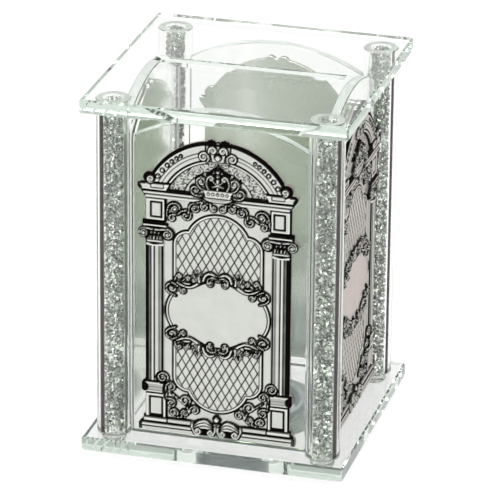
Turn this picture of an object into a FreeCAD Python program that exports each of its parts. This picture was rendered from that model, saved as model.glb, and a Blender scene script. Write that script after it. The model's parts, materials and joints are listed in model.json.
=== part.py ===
import FreeCAD, Part

import math
import os
from types import SimpleNamespace

import Sketcher
from FreeCAD import Placement, Rotation, Vector

# Driving dimensions in millimetres, kept in the document's sheet under these names.
DIMENSIONS = {
    # Glass plates
    "plate_side": 100.0,
    "plate_thick": 5.5,
    "plate_arris": 0.6,
    # Coin slot, plunged into the top plate by a grinding wheel
    "slot_length": 72.8,
    "slot_width": 5.0,
    "wheel_diameter": 150.0,
    # Corner tubes and the crushed crystal in them
    "tube_inset": 10.0,
    "tube_outer": 13.0,
    "tube_bore": 7.5,
    "tube_length": 128.0,
    "fill_clearance": 0.15,
    "fill_headroom": 0.5,
    # Wall panes between the tubes
    "pane_thick": 4.0,
    "pane_joint": 0.15,
    "pane_arch_radius": 66.0,
    "pane_crown_gap": 1.5,
    # Stopper in the base
    "hole_diameter": 46.0,
    "stopper_clearance": 0.3,
    "flange_diameter": 60.0,
    "flange_thick": 1.5,
    "spigot_wall": 2.2,
    "spigot_rise": 1.5,
    # Stick-on feet
    "foot_diameter": 9.0,
    "foot_height": 2.3,
    # Plaque body and the heights of its relief above the plate
    "plaque_plate": 1.2,
    "plaque_lift": 2.9,
    "plaque_headroom": 6.6,
    "relief_mid": 1.1,
    "relief_high": 1.7,
    "recess_depth": 0.4,
    # Plaque plinth and pedestals, from the bottom up
    "plinth_half": 29.9,
    "plinth_foot": 2.3,
    "plinth_slope": 1.6,
    "pedestal_base": 1.7,
    "pedestal_die": 9.6,
    "pedestal_cap": 5.0,
    "pedestal_width": 7.9,
    "pedestal_overhang": 0.9,
    "panel_margin": 1.6,
    # Plaque columns and capitals
    "column_axis": 23.8,
    "column_width": 6.9,
    "column_relief": 1.5,
    "flute_pitch": 1.9,
    "flute_width": 0.9,
    "flute_depth": 0.5,
    "capital_height": 6.3,
    "volute_spread": 4.6,
    "volute_radius": 2.2,
    "volute_drop": 3.0,
    "abacus_height": 1.4,
    "abacus_width": 10.0,
    # Plaque entablature and arch
    "block_height": 9.6,
    "architrave_height": 3.7,
    "architrave_half": 27.7,
    "cornice_height": 1.5,
    "cornice_half": 30.2,
    "arch_foot": 0.9,
    "arch_radius": 29.5,
    "arch_rise": 17.6,
    "arch_band": 3.6,
    "arch_inner": 24.4,
    "tympanum_radius": 21.6,
    # Plaque lattice windows and the cartouche between them
    "window_half": 17.0,
    "window_lobe_half": 11.2,
    "window_lobe_rise": 7.1,
    "window_drop": 1.5,
    "window_sill": 9.0,
    "cartouche_side": 16.4,
    "cartouche_half_height": 8.2,
    "cartouche_bow": 11.4,
    "cartouche_dip": 13.0,
    "cartouche_dip_rise": 1.9,
    "cartouche_crest": 4.5,
    "cartouche_crest_rise": 5.3,
    "cartouche_hollow": 9.0,
    "cartouche_crown": 8.0,
    # Plaque crown and scrolls
    "crown_drop": 3.5,
    "crown_band_half": 4.9,
    "crown_band": 3.2,
    "crown_swell_half": 6.3,
    "crown_swell": 4.9,
    "crown_dome": 5.2,
    "crown_round": 6.2,
    "crown_knob": 1.1,
    "crest_foot_half": 6.2,
    "crest_head_half": 4.4,
    "crest_rise": 0.6,
    "shell_half": 8.6,
    "shell_rise": 2.6,
    "shell_drop": 2.4,
}

# Names of the four sides and corners, with the turns that place them
SIDES = {"front": 0, "right": 90, "back": 180, "left": 270}
CORNERS = {"front_left": (-1, -1), "front_right": (1, -1), "back_left": (-1, 1), "back_right": (1, 1)}

# Facets of the crushed crystal columns
FILL_FACETS = 5
FILL_LEVELS = 18
FILL_WAIST = 0.80
FILL_STIR = 7.3


class Size:
    """A length with the sheet expression that gives it, so that geometry and expressions agree."""

    def __init__(self, value, text=None):
        self.value = float(value)
        self.text = text or repr(float(value))

    def __add__(self, other):
        other = as_size(other)
        return Size(self.value + other.value, f"({self.text} + {other.text})")

    def __sub__(self, other):
        other = as_size(other)
        return Size(self.value - other.value, f"({self.text} - {other.text})")

    def __mul__(self, other):
        other = as_size(other)
        return Size(self.value * other.value, f"({self.text} * {other.text})")

    def __truediv__(self, other):
        other = as_size(other)
        return Size(self.value / other.value, f"({self.text} / {other.text})")

    def __neg__(self):
        return Size(-self.value, f"(-1 * {self.text})")


def as_size(item):
    return item if isinstance(item, Size) else Size(item)


def root(item):
    return Size(math.sqrt(item.value), f"sqrt({item.text})")


def leg(hypotenuse, other):
    """The other short side of a right triangle."""
    return root(hypotenuse * hypotenuse - other * other)


def arc_radius(half_chord, rise):
    """The radius of the arc that rises this far over its chord."""
    return (half_chord * half_chord + rise * rise) / (rise * 2)


def make_sheet(doc):
    """Write the driving dimensions to the sheet and return them as sizes."""
    sheet = doc.addObject("Spreadsheet::Sheet", "Sizes")
    sizes = {}
    for row, (name, value) in enumerate(DIMENSIONS.items(), start=1):
        sheet.set(f"A{row}", name)
        sheet.set(f"B{row}", str(value))
        sheet.setAlias(f"B{row}", name)
        sizes[name] = Size(value, f"Sizes.{name}")
    doc.recompute()
    return SimpleNamespace(**sizes)


def bind(target, path, size):
    """Tie one property of an object to the sheet."""
    target.setExpression(path, size.text)


def place(target, x=0, y=0, z=0, turn=0):
    """Place a sub-part by sizes, turned about the vertical."""
    base = [as_size(item) for item in (x, y, z)]
    target.Placement = Placement(Vector(*(item.value for item in base)), Rotation(Vector(0, 0, 1), turn))
    for axis, item in zip("xyz", base):
        bind(target, f"Placement.Base.{axis}", item)


def new_body(doc, name):
    body = doc.addObject("PartDesign::Body", name)
    body.Label = name
    return body


def sketch_on(body, name, role, lift=None):
    """A sketch on one of the body's own origin planes, lifted along its normal."""
    sketch = body.newObject("Sketcher::SketchObject", name)
    plane = next(item for item in body.Origin.OriginFeatures if item.Role == role)
    sketch.AttachmentSupport = [(plane, "")]
    sketch.MapMode = "FlatFace"
    if lift is not None:
        sketch.AttachmentOffset = Placement(Vector(0, 0, lift.value), Rotation())
        bind(sketch, "AttachmentOffset.Base.z", lift)
    return sketch


def constrain(sketch, size, *parts):
    """Add a dimension to a sketch and tie it to the sheet."""
    index = sketch.addConstraint(Sketcher.Constraint(*parts, size.value))
    bind(sketch, f"Constraints[{index}]", size)


def locate(sketch, edge, point, x, y):
    """Fix a sketch point by its distances from the sketch's axes."""
    for kind, axis, size in (("DistanceX", -2, as_size(x)), ("DistanceY", -1, as_size(y))):
        if size.value == 0:
            sketch.addConstraint(Sketcher.Constraint("PointOnObject", edge, point, axis))
        else:
            constrain(sketch, size, kind, -1, 1, edge, point)


def arc_between(start, end, radius, hollow):
    """A short arc from start to end; a hollow one bends into an anticlockwise outline."""
    chord = end - start
    side = Vector(-chord.y, chord.x, 0).normalize()
    reach = math.sqrt(radius ** 2 - (chord.Length / 2) ** 2)
    centre = (start + end) / 2 + side * (-reach if hollow else reach)
    first, last = (end, start) if hollow else (start, end)
    begin = math.atan2(first.y - centre.y, first.x - centre.x)
    finish = math.atan2(last.y - centre.y, last.x - centre.x)
    if finish < begin:
        finish += 2 * math.pi
    return Part.ArcOfCircle(Part.Circle(centre, Vector(0, 0, 1), radius), begin, finish)


def bulge(x, y, radius):
    """A corner that an outward arc leaves."""
    return x, y, radius, False


def hollow(x, y, radius):
    """A corner that an inward arc leaves."""
    return x, y, radius, True


def outline(sketch, corners):
    """Draw a closed outline, anticlockwise, whose every corner is tied to the sheet."""
    points = [Vector(as_size(item[0]).value, as_size(item[1]).value, 0) for item in corners]
    starts, ends = [], []
    for index, corner in enumerate(corners):
        here, after = points[index], points[(index + 1) % len(points)]
        if len(corner) == 2:
            edge = sketch.addGeometry(Part.LineSegment(here, after))
            starts.append((edge, 1))
            ends.append((edge, 2))
            continue
        radius, inward = corner[2], corner[3]
        edge = sketch.addGeometry(arc_between(here, after, radius.value, inward))
        starts.append((edge, 2 if inward else 1))
        ends.append((edge, 1 if inward else 2))
    for index, corner in enumerate(corners):
        sketch.addConstraint(Sketcher.Constraint("Coincident", *ends[index - 1], *starts[index]))
        locate(sketch, *starts[index], corner[0], corner[1])
        if len(corner) == 4:
            constrain(sketch, corner[2], "Radius", starts[index][0])


def rectangle(sketch, left, low, right, high):
    outline(sketch, [(left, low), (right, low), (right, high), (left, high)])


def disc(sketch, x, y, radius):
    centre = Vector(as_size(x).value, as_size(y).value, 0)
    edge = sketch.addGeometry(Part.Circle(centre, Vector(0, 0, 1), radius.value))
    locate(sketch, edge, 3, x, y)
    constrain(sketch, radius, "Radius", edge)


def disc_pair(sketch, out, y, radius):
    for sign in (-1, 1):
        disc(sketch, out * sign, y, radius)


def mirrored(corners):
    """An outline's right half, from its foot up, followed by the same half mirrored."""
    left = []
    for index in range(len(corners) - 1, -1, -1):
        x, y = corners[index][:2]
        arc = corners[index - 1][2:] if index else ()
        left.append((-as_size(x), y, *arc))
    return corners + left


def half_turn(corners, middle):
    """An outline turned by half a turn about the point at this height on the centre line."""
    return [(-as_size(item[0]), middle * 2 - item[1], *item[2:]) for item in corners]


def extrude(body, kind, name, sketch, length, backwards=False, midplane=False):
    feature = body.newObject(f"PartDesign::{kind}", name)
    feature.Profile = sketch
    feature.Length = length.value
    bind(feature, "Length", length)
    feature.Reversed = backwards
    feature.Midplane = midplane
    return feature


def revolve(body, sketch):
    feature = body.newObject("PartDesign::Revolution", "Turned")
    feature.Profile = sketch
    feature.ReferenceAxis = (sketch, ["V_Axis"])
    feature.Angle = 360
    return feature


def soften(doc, body, base, size):
    """Grind a small arris on every edge of a plate of glass."""
    doc.recompute()
    feature = body.newObject("PartDesign::Chamfer", "Arris")
    feature.Base = (base, [f"Edge{number}" for number in range(1, len(base.Shape.Edges) + 1)])
    feature.Size = size.value
    bind(feature, "Size", size)


def square_plate(doc, dim, name):
    """A square plate with ground edges."""
    body = new_body(doc, name)
    sketch = sketch_on(body, "Square", "XY_Plane")
    half = dim.plate_side / 2
    rectangle(sketch, -half, -half, half, half)
    pad = extrude(body, "Pad", "Plate", sketch, dim.plate_thick)
    soften(doc, body, pad, dim.plate_arris)
    return body


def base_plate(doc, dim, level):
    """The bottom plate, with the hole that the stopper closes."""
    body = square_plate(doc, dim, "base_plate")
    sketch = sketch_on(body, "Hole", "XY_Plane")
    disc(sketch, 0, 0, dim.hole_diameter / 2)
    extrude(body, "Pocket", "StopperHole", sketch, dim.plate_thick, backwards=True)
    place(body, z=level.base)
    return body


def top_plate(doc, dim, level):
    """The top plate, with the coin slot that a wheel left in it."""
    body = square_plate(doc, dim, "top_plate")
    wheel = dim.wheel_diameter / 2
    sketch = sketch_on(body, "Wheel", "XZ_Plane")
    disc(sketch, 0, dim.plate_thick + leg(wheel, dim.slot_length / 2), wheel)
    extrude(body, "Pocket", "CoinSlot", sketch, dim.slot_width, midplane=True)
    place(body, z=level.top)
    return body


def corner_tube(doc, dim, level, corner, signs):
    body = new_body(doc, f"corner_tube_{corner}")
    sketch = sketch_on(body, "Ring", "XY_Plane")
    disc(sketch, 0, 0, dim.tube_outer / 2)
    disc(sketch, 0, 0, dim.tube_bore / 2)
    extrude(body, "Pad", "Tube", sketch, dim.tube_length)
    place(body, level.axis * signs[0], level.axis * signs[1], level.floor)
    return body


def crystal_fill(doc, dim, level, corner, signs):
    """The crushed crystal in one tube, as one column of flat uneven facets."""
    wide = dim.tube_bore.value / 2 - dim.fill_clearance.value
    step = (dim.tube_length.value - dim.fill_headroom.value) / FILL_LEVELS
    rings = []
    for row in range(FILL_LEVELS + 1):
        ring = []
        for side in range(FILL_FACETS):
            angle = 2 * math.pi * (side + row / 2) / FILL_FACETS
            stir = 0.5 + 0.5 * math.sin(FILL_STIR * (row * FILL_FACETS + side))
            reach = wide * (FILL_WAIST + (1 - FILL_WAIST) * stir)
            ring.append(Vector(reach * math.cos(angle), reach * math.sin(angle), row * step))
        rings.append(ring)
    faces = [Part.Face(Part.makePolygon(ring + ring[:1])) for ring in (rings[0], rings[-1])]
    for low, high in zip(rings, rings[1:]):
        for side in range(FILL_FACETS):
            after = (side + 1) % FILL_FACETS
            for three in ((low[side], low[after], high[side]), (low[after], high[after], high[side])):
                faces.append(Part.Face(Part.makePolygon([*three, three[0]])))
    column = doc.addObject("Part::Feature", f"crystal_fill_{corner}")
    column.Shape = Part.makeSolid(Part.makeShell(faces))
    place(column, level.axis * signs[0], level.axis * signs[1], level.floor)
    return column


def glass_pane(doc, dim, level, side, turn):
    """A wall pane with a flat foot and an arched top edge."""
    body = new_body(doc, f"glass_pane_{side}")
    half = level.axis - dim.tube_outer / 2 - dim.pane_joint
    crown = dim.tube_length - dim.pane_crown_gap
    spring = crown - dim.pane_arch_radius + leg(dim.pane_arch_radius, half)
    sketch = sketch_on(body, "Arched", "XZ_Plane")
    outline(sketch, [(-half, 0), (half, 0), bulge(half, spring, dim.pane_arch_radius), (-half, spring)])
    extrude(body, "Pad", "Pane", sketch, dim.pane_thick, backwards=True)
    stand_on_side(body, level.axis, level.floor, turn)
    return body


def stand_on_side(body, distance, height, turn):
    """Place a wall piece that was drawn for the front on the side that a turn gives."""
    angle = math.radians(turn)
    place(body, distance * round(math.sin(angle)), distance * -round(math.cos(angle)), height, turn)


def base_stopper(doc, dim, level):
    """A soft stopper: a flange below the plate and a thin-walled spigot in the hole."""
    body = new_body(doc, "base_stopper")
    outer = dim.hole_diameter / 2 - dim.stopper_clearance
    inner = outer - dim.spigot_wall
    brim = dim.flange_diameter / 2
    tip = dim.plate_thick + dim.spigot_rise
    sketch = sketch_on(body, "Half", "XZ_Plane")
    corners = [(0, -dim.flange_thick), (brim, -dim.flange_thick), (brim, 0), (outer, 0)]
    corners += [(outer, tip), (inner, tip), (inner, 0), (0, 0)]
    outline(sketch, corners)
    revolve(body, sketch)
    place(body, z=level.base)
    return body


def bumper_foot(doc, dim, level, corner, signs):
    """A clear stick-on foot."""
    foot = doc.addObject("Part::Cylinder", f"bumper_foot_{corner}")
    bind(foot, "Radius", dim.foot_diameter / 2)
    bind(foot, "Height", dim.foot_height)
    place(foot, level.axis * signs[0], level.axis * signs[1])
    return foot


def plaque_levels(dim):
    """The heights of the plaque's courses above its foot; the columns fill what the rest leaves."""
    below = [
        ("foot", dim.plinth_foot), ("plinth", dim.plinth_slope), ("pedestal", dim.pedestal_base),
        ("cap", dim.pedestal_die), ("column", dim.pedestal_cap),
    ]
    above = [
        ("abacus", dim.capital_height), ("block", dim.abacus_height), ("architrave", dim.block_height),
        ("cornice", dim.architrave_height), ("arch_foot", dim.cornice_height), ("spring", dim.arch_foot),
        ("apex", dim.arch_rise),
    ]
    shaft = dim.tube_length - dim.pane_crown_gap - dim.plaque_headroom - dim.plaque_lift
    for _, rise in below + above:
        shaft = shaft - rise
    heights, height = {"shaft": shaft}, Size(0)
    for name, rise in [*below, ("capital", shaft), *above]:
        height = height + rise
        heights[name] = height
    heights["centre"] = heights["spring"] + dim.arch_rise - dim.arch_radius
    heights["middle"] = heights["column"] + shaft / 2
    return SimpleNamespace(**heights)


def plaque_silhouette(dim, at):
    """The plaque's whole outline: plinth, pedestals, columns, capitals, cornice and arch."""
    shaft = dim.column_axis + dim.column_width / 2
    die = dim.column_axis + dim.pedestal_width / 2
    brow = die + dim.pedestal_overhang
    ear = dim.column_axis + dim.abacus_width / 2
    foot = leg(dim.arch_radius, at.spring - at.centre)
    scroll = arc_radius(dim.capital_height / 2, dim.volute_radius - (ear - shaft) / 2)
    right = [
        (dim.plinth_half, 0), (dim.plinth_half, at.foot), (brow, at.plinth), (brow, at.pedestal),
        (die, at.pedestal), (die, at.cap), (brow, at.cap + dim.pedestal_overhang),
        (brow, at.column - dim.pedestal_overhang), (shaft, at.column),
        bulge(shaft, at.capital, scroll), (ear, at.abacus), (ear, at.block),
        (dim.architrave_half, at.block), (dim.architrave_half, at.architrave),
        (dim.cornice_half, at.cornice), (dim.cornice_half, at.arch_foot), (foot, at.spring),
    ]
    corners = mirrored(right)
    top = len(right) - 1
    corners[top] = bulge(foot, at.spring, dim.arch_radius)
    return corners


def arch_ring(at, outer, inner, foot):
    """A band of the arch, cut off level at its feet."""
    below = foot - at.centre
    wide, narrow = leg(outer, below), leg(inner, below)
    return [(narrow, foot), bulge(wide, foot, outer), (-wide, foot), hollow(-narrow, foot, inner)]


def window_outline(dim, at):
    """The upper lattice window: straight sides, round shoulders and a round head."""
    half, lobe = dim.window_half, dim.window_lobe_half
    sill = at.middle + dim.window_sill
    shoulder = at.capital - dim.window_drop
    corner = half - lobe
    neck = shoulder + corner
    head = arc_radius(lobe, dim.window_lobe_rise)
    return [
        (-half, sill), (half, sill), bulge(half, shoulder, corner), bulge(lobe, neck, head),
        bulge(-lobe, neck, corner), (-half, shoulder),
    ]


def cartouche_outline(dim, at):
    """The bare oval shield between the windows, with bowed ends and a scalloped edge."""
    high = at.middle + dim.cartouche_half_height
    dip = high + dim.cartouche_dip_rise
    crest = high + dim.cartouche_crest_rise
    upper = [
        (dim.cartouche_side, high), hollow(dim.cartouche_dip, dip, dim.cartouche_hollow),
        bulge(dim.cartouche_crest, crest, dim.cartouche_crown),
        hollow(-dim.cartouche_crest, crest, dim.cartouche_hollow), (-dim.cartouche_dip, dip),
        bulge(-dim.cartouche_side, high, dim.cartouche_bow),
    ]
    return upper + half_turn(upper, at.middle)


def crown_outline(dim, at):
    """The crown over the cornice: a band, swelling sides, a dome and a knob."""
    low = at.cornice - dim.crown_drop
    brim = low + dim.crown_band
    swell = brim + dim.crown_swell
    dome = swell + dim.crown_dome
    right = [
        (dim.crown_band_half, low), (dim.crown_band_half, brim),
        bulge(dim.crown_swell_half, swell, dim.crown_round), (dim.crown_knob, dome),
        (dim.crown_knob, dome + dim.crown_knob * 2),
    ]
    return mirrored(right)


def crest_outline(dim, at):
    """The scroll crest that breaks the top of the arch."""
    foot = at.centre + dim.tympanum_radius
    head = at.apex + dim.crest_rise
    return [
        (-dim.crest_foot_half, foot), (dim.crest_foot_half, foot), (dim.crest_head_half, head),
        (-dim.crest_head_half, head),
    ]


def shell_outline(dim, at):
    """The mound of the double shell scroll in the middle of the plinth."""
    half, low = dim.shell_half, at.plinth - dim.shell_drop
    mound = arc_radius(half, dim.shell_rise)
    return [(-half, low), (half, low), bulge(half, at.plinth, mound), (-half, at.plinth)]


def raise_relief(dim, body, name, height, shapes):
    """Pad outlines of one height on the plaque's plate."""
    sketch = sketch_on(body, f"{name}Outline", "XZ_Plane")
    for corners in shapes:
        outline(sketch, corners)
    extrude(body, "Pad", name, sketch, dim.plaque_plate + height)


def sink_relief(body, name, face, depth, shapes):
    """Cut outlines into a face of the plaque."""
    sketch = sketch_on(body, f"{name}Outline", "XZ_Plane", face)
    for corners in shapes:
        outline(sketch, corners)
    extrude(body, "Pocket", name, sketch, depth)


def box_of(left, low, right, high):
    return [(left, low), (right, low), (right, high), (left, high)]


def box_pair(dim, width, low, high):
    """The same upright box on the left and the right column axis."""
    half = width / 2
    boxes = []
    for sign in (-1, 1):
        axis = dim.column_axis * sign
        boxes.append(box_of(axis - half, low, axis + half, high))
    return boxes


def flute_outline(dim, middle, crest):
    """The three-sided section of one flute, open past the column's face."""
    half = dim.flute_width / 2
    deep, clear = crest + dim.flute_depth, crest - dim.flute_depth
    return [(middle - half, clear), (middle + half, clear), (middle, deep)]


def fluted_columns(dim, at, body):
    """Two half-round columns with three flutes each."""
    half = dim.column_width / 2
    bow = arc_radius(half, dim.column_relief)
    section = sketch_on(body, "ColumnSection", "XY_Plane", at.column)
    flutes = sketch_on(body, "FluteSection", "XY_Plane", at.column)
    for sign in (-1, 1):
        axis = dim.column_axis * sign
        face = -dim.plaque_plate
        left, right = axis - half, axis + half
        outline(section, [bulge(left, face, bow), (right, face), (right, 0), (left, 0)])
        for place_on in (-1, 0, 1):
            offset = dim.flute_pitch * place_on
            crest = face - leg(bow, offset) + bow - dim.column_relief
            outline(flutes, flute_outline(dim, axis + offset, crest))
    extrude(body, "Pad", "Columns", section, at.shaft)
    extrude(body, "Pocket", "Flutes", flutes, at.shaft, backwards=True)


def capital_volutes(dim, at, body):
    """The two round scrolls of each capital."""
    sketch = sketch_on(body, "VoluteOutline", "XZ_Plane")
    for sign in (-1, 1):
        reach = dim.column_axis + dim.volute_spread * sign
        disc_pair(sketch, reach, at.abacus - dim.volute_drop, dim.volute_radius)
    extrude(body, "Pad", "Volutes", sketch, dim.plaque_plate + dim.relief_mid)


def plaque(doc, dim, level, side, turn):
    """One cast plaque: an arched doorway in relief, with lattice windows and a bare shield."""
    body = new_body(doc, f"plaque_{side}")
    at = plaque_levels(dim)
    raise_relief(dim, body, "Plate", Size(0), [plaque_silhouette(dim, at)])

    upper = window_outline(dim, at)
    reach = leg(dim.tympanum_radius, at.arch_foot - at.centre)
    tympanum = [(-reach, at.arch_foot), bulge(reach, at.arch_foot, dim.tympanum_radius)]
    sunk = [upper, half_turn(upper, at.middle), tympanum]
    sink_relief(body, "Recesses", dim.plaque_plate, dim.recess_depth, sunk)

    fluted_columns(dim, at, body)

    blocks = box_pair(dim, dim.pedestal_width, at.pedestal, at.cap)
    blocks += box_pair(dim, dim.pedestal_width, at.block, at.architrave)
    blocks.append(arch_ring(at, dim.arch_inner, dim.tympanum_radius, at.arch_foot))
    raise_relief(dim, body, "Blocks", dim.relief_mid, blocks)

    margin = dim.panel_margin
    panels = box_pair(dim, dim.pedestal_width - margin * 2, at.pedestal + margin, at.cap - margin)
    panels += box_pair(dim, dim.pedestal_width - margin * 2, at.block + margin, at.architrave - margin)
    sink_relief(body, "Panels", dim.plaque_plate + dim.relief_mid, dim.recess_depth, panels)

    bell = dim.volute_spread
    steps = [box_of(-dim.plinth_half, Size(0), dim.plinth_half, at.foot)]
    steps += box_pair(dim, dim.pedestal_width + dim.pedestal_overhang * 2, at.plinth, at.pedestal)
    steps += box_pair(dim, dim.pedestal_width + dim.pedestal_overhang, at.cap, at.column)
    steps += box_pair(dim, bell * 2, at.capital, at.abacus)
    steps.append(box_of(-dim.cornice_half, at.cornice, dim.cornice_half, at.arch_foot))
    steps.append(arch_ring(at, dim.arch_radius, dim.arch_radius - dim.arch_band, at.spring))
    raise_relief(dim, body, "Mouldings", dim.relief_high, steps)

    lower = box_pair(dim, dim.abacus_width, at.abacus, at.block)
    lower.append(box_of(-dim.architrave_half, at.architrave, dim.architrave_half, at.cornice))
    lower.append(cartouche_outline(dim, at))
    raise_relief(dim, body, "Shield", dim.relief_mid, lower)

    capital_volutes(dim, at, body)
    ornaments = [crown_outline(dim, at), crest_outline(dim, at), shell_outline(dim, at)]
    raise_relief(dim, body, "Ornaments", dim.relief_high, ornaments)
    stand_on_side(body, level.axis, level.floor + dim.plaque_lift, turn)
    return body


def build(doc, dim):
    """Make every sub-part in its place."""
    base = dim.foot_height
    floor = base + dim.plate_thick
    level = SimpleNamespace(
        base=base, floor=floor, top=floor + dim.tube_length, axis=dim.plate_side / 2 - dim.tube_inset
    )
    nodes = [base_plate(doc, dim, level), top_plate(doc, dim, level), base_stopper(doc, dim, level)]
    for corner, signs in CORNERS.items():
        nodes.append(corner_tube(doc, dim, level, corner, signs))
        nodes.append(crystal_fill(doc, dim, level, corner, signs))
        nodes.append(bumper_foot(doc, dim, level, corner, signs))
    for side, turn in SIDES.items():
        nodes.append(glass_pane(doc, dim, level, side, turn))
        nodes.append(plaque(doc, dim, level, side, turn))
    return nodes


def check(doc, nodes):
    """Stop before anything is written if a feature failed or a sub-part is no sound solid."""
    for item in doc.Objects:
        if "Invalid" in item.State or "Error" in item.State:
            raise RuntimeError(f"{item.Label} failed: {item.State}")
    for node in nodes:
        if node.Shape.isNull() or not node.Shape.isValid() or len(node.Shape.Solids) != 1:
            raise RuntimeError(f"{node.Label} is not one sound solid")


def main():
    os.makedirs("parts", exist_ok=True)
    doc = FreeCAD.newDocument("DonationBox")
    dim = make_sheet(doc)
    nodes = build(doc, dim)
    doc.recompute()
    check(doc, nodes)
    for node in nodes:
        node.Shape.exportStep(f"parts/{node.Label}.step")


main()
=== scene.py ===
"""Visual model of a clear glass donation box with crystal-filled corner tubes and antique silver plaques."""

import json
import logging
import math
import random
from abc import ABC, abstractmethod
from collections.abc import Iterable, Sequence
from dataclasses import dataclass
from enum import Enum

import bmesh
import bpy
import numpy as np
from mathutils import Matrix, Vector

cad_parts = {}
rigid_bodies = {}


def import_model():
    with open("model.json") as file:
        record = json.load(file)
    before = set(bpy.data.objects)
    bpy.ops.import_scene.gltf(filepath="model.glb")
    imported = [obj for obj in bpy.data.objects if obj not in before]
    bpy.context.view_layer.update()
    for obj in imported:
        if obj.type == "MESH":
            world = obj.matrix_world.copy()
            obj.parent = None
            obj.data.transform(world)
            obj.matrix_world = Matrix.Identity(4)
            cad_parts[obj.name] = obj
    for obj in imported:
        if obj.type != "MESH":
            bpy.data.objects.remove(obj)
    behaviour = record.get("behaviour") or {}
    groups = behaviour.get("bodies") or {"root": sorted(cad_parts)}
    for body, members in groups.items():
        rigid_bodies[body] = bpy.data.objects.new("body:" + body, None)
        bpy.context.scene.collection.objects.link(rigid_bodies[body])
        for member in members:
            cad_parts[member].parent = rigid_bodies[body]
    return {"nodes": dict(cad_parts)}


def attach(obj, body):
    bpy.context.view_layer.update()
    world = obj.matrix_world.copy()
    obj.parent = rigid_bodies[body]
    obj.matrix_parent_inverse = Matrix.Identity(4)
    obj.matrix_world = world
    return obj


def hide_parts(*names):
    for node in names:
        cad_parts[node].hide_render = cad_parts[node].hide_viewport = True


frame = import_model()

MM = 0.001
# Edges that turn by more degrees than this get an arris
ARRIS_ANGLE = 40.0
# Patina of a cut that no cloth has reached
BLACK = 1.0
LOG = logging.getLogger("donation_box")
Point = tuple[float, float]
Span = tuple[float, float]
Piece = bpy.types.Object
Tree = bpy.types.NodeTree
Socket = bpy.types.NodeSocket
Outputs = bpy.types.NodeOutputs


class Side(Enum):
    """The four walls, each with its turn about the upright axis in degrees."""

    FRONT = 0
    RIGHT = 90
    BACK = 180
    LEFT = 270


class Corner(Enum):
    """The four corners, each with its signs along X and Y."""

    FRONT_LEFT = (-1, -1)
    FRONT_RIGHT = (1, -1)
    BACK_LEFT = (-1, 1)
    BACK_RIGHT = (1, 1)


def linear(colour: str) -> tuple[float, float, float, float]:
    """Turns an sRGB hex colour into linear light.

    Args:
        colour: the colour as "#RRGGBB".

    Returns:
        Red, green, blue and an alpha of 1.
    """
    shares = [int(colour[i:i + 2], 16) / 255 for i in (1, 3, 5)]
    return (*(c / 12.92 if c <= 0.04045 else ((c + 0.055) / 1.055) ** 2.4 for c in shares), 1.0)


def add_node(tree: Tree, kind: str, inputs: dict | None = None, **settings: str | bool) -> Outputs:
    """Adds one node to a tree.

    Args:
        tree: the node tree.
        kind: the node's type name.
        inputs: input sockets, by name or number, each with its constant or the output that feeds it.
        settings: attributes to set on the node.

    Returns:
        The new node's outputs.
    """
    node = tree.nodes.new(kind)
    for name, value in settings.items():
        setattr(node, name, value)
    for name, value in (inputs or {}).items():
        if isinstance(value, Socket):
            tree.links.new(value, node.inputs[name])
        else:
            node.inputs[name].default_value = value
    return node.outputs


def new_material(name: str) -> bpy.types.Material:
    """Makes a material with an empty node tree.

    Args:
        name: the material's name.

    Returns:
        The material.
    """
    material = bpy.data.materials.new(name)
    material.use_nodes = True
    material.node_tree.nodes.clear()
    return material


def per_metre(size_mm: float) -> float:
    """Texture scale that gives a pattern this many millimetres across."""
    return 1 / (size_mm * MM)


class Finish(ABC):
    """A finish that is laid out once and shared by every piece that has it."""

    name: str

    @abstractmethod
    def lay(self, tree: Tree) -> None:
        """Lays out the finish's nodes.

        Args:
            tree: the material's empty node tree.
        """

    def material(self) -> bpy.types.Material:
        """Gives the finish's material.

        Returns:
            The material, new or as it was made before.
        """
        if self.name in bpy.data.materials:
            return bpy.data.materials[self.name]
        material = new_material(self.name)
        self.lay(material.node_tree)
        return material


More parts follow.
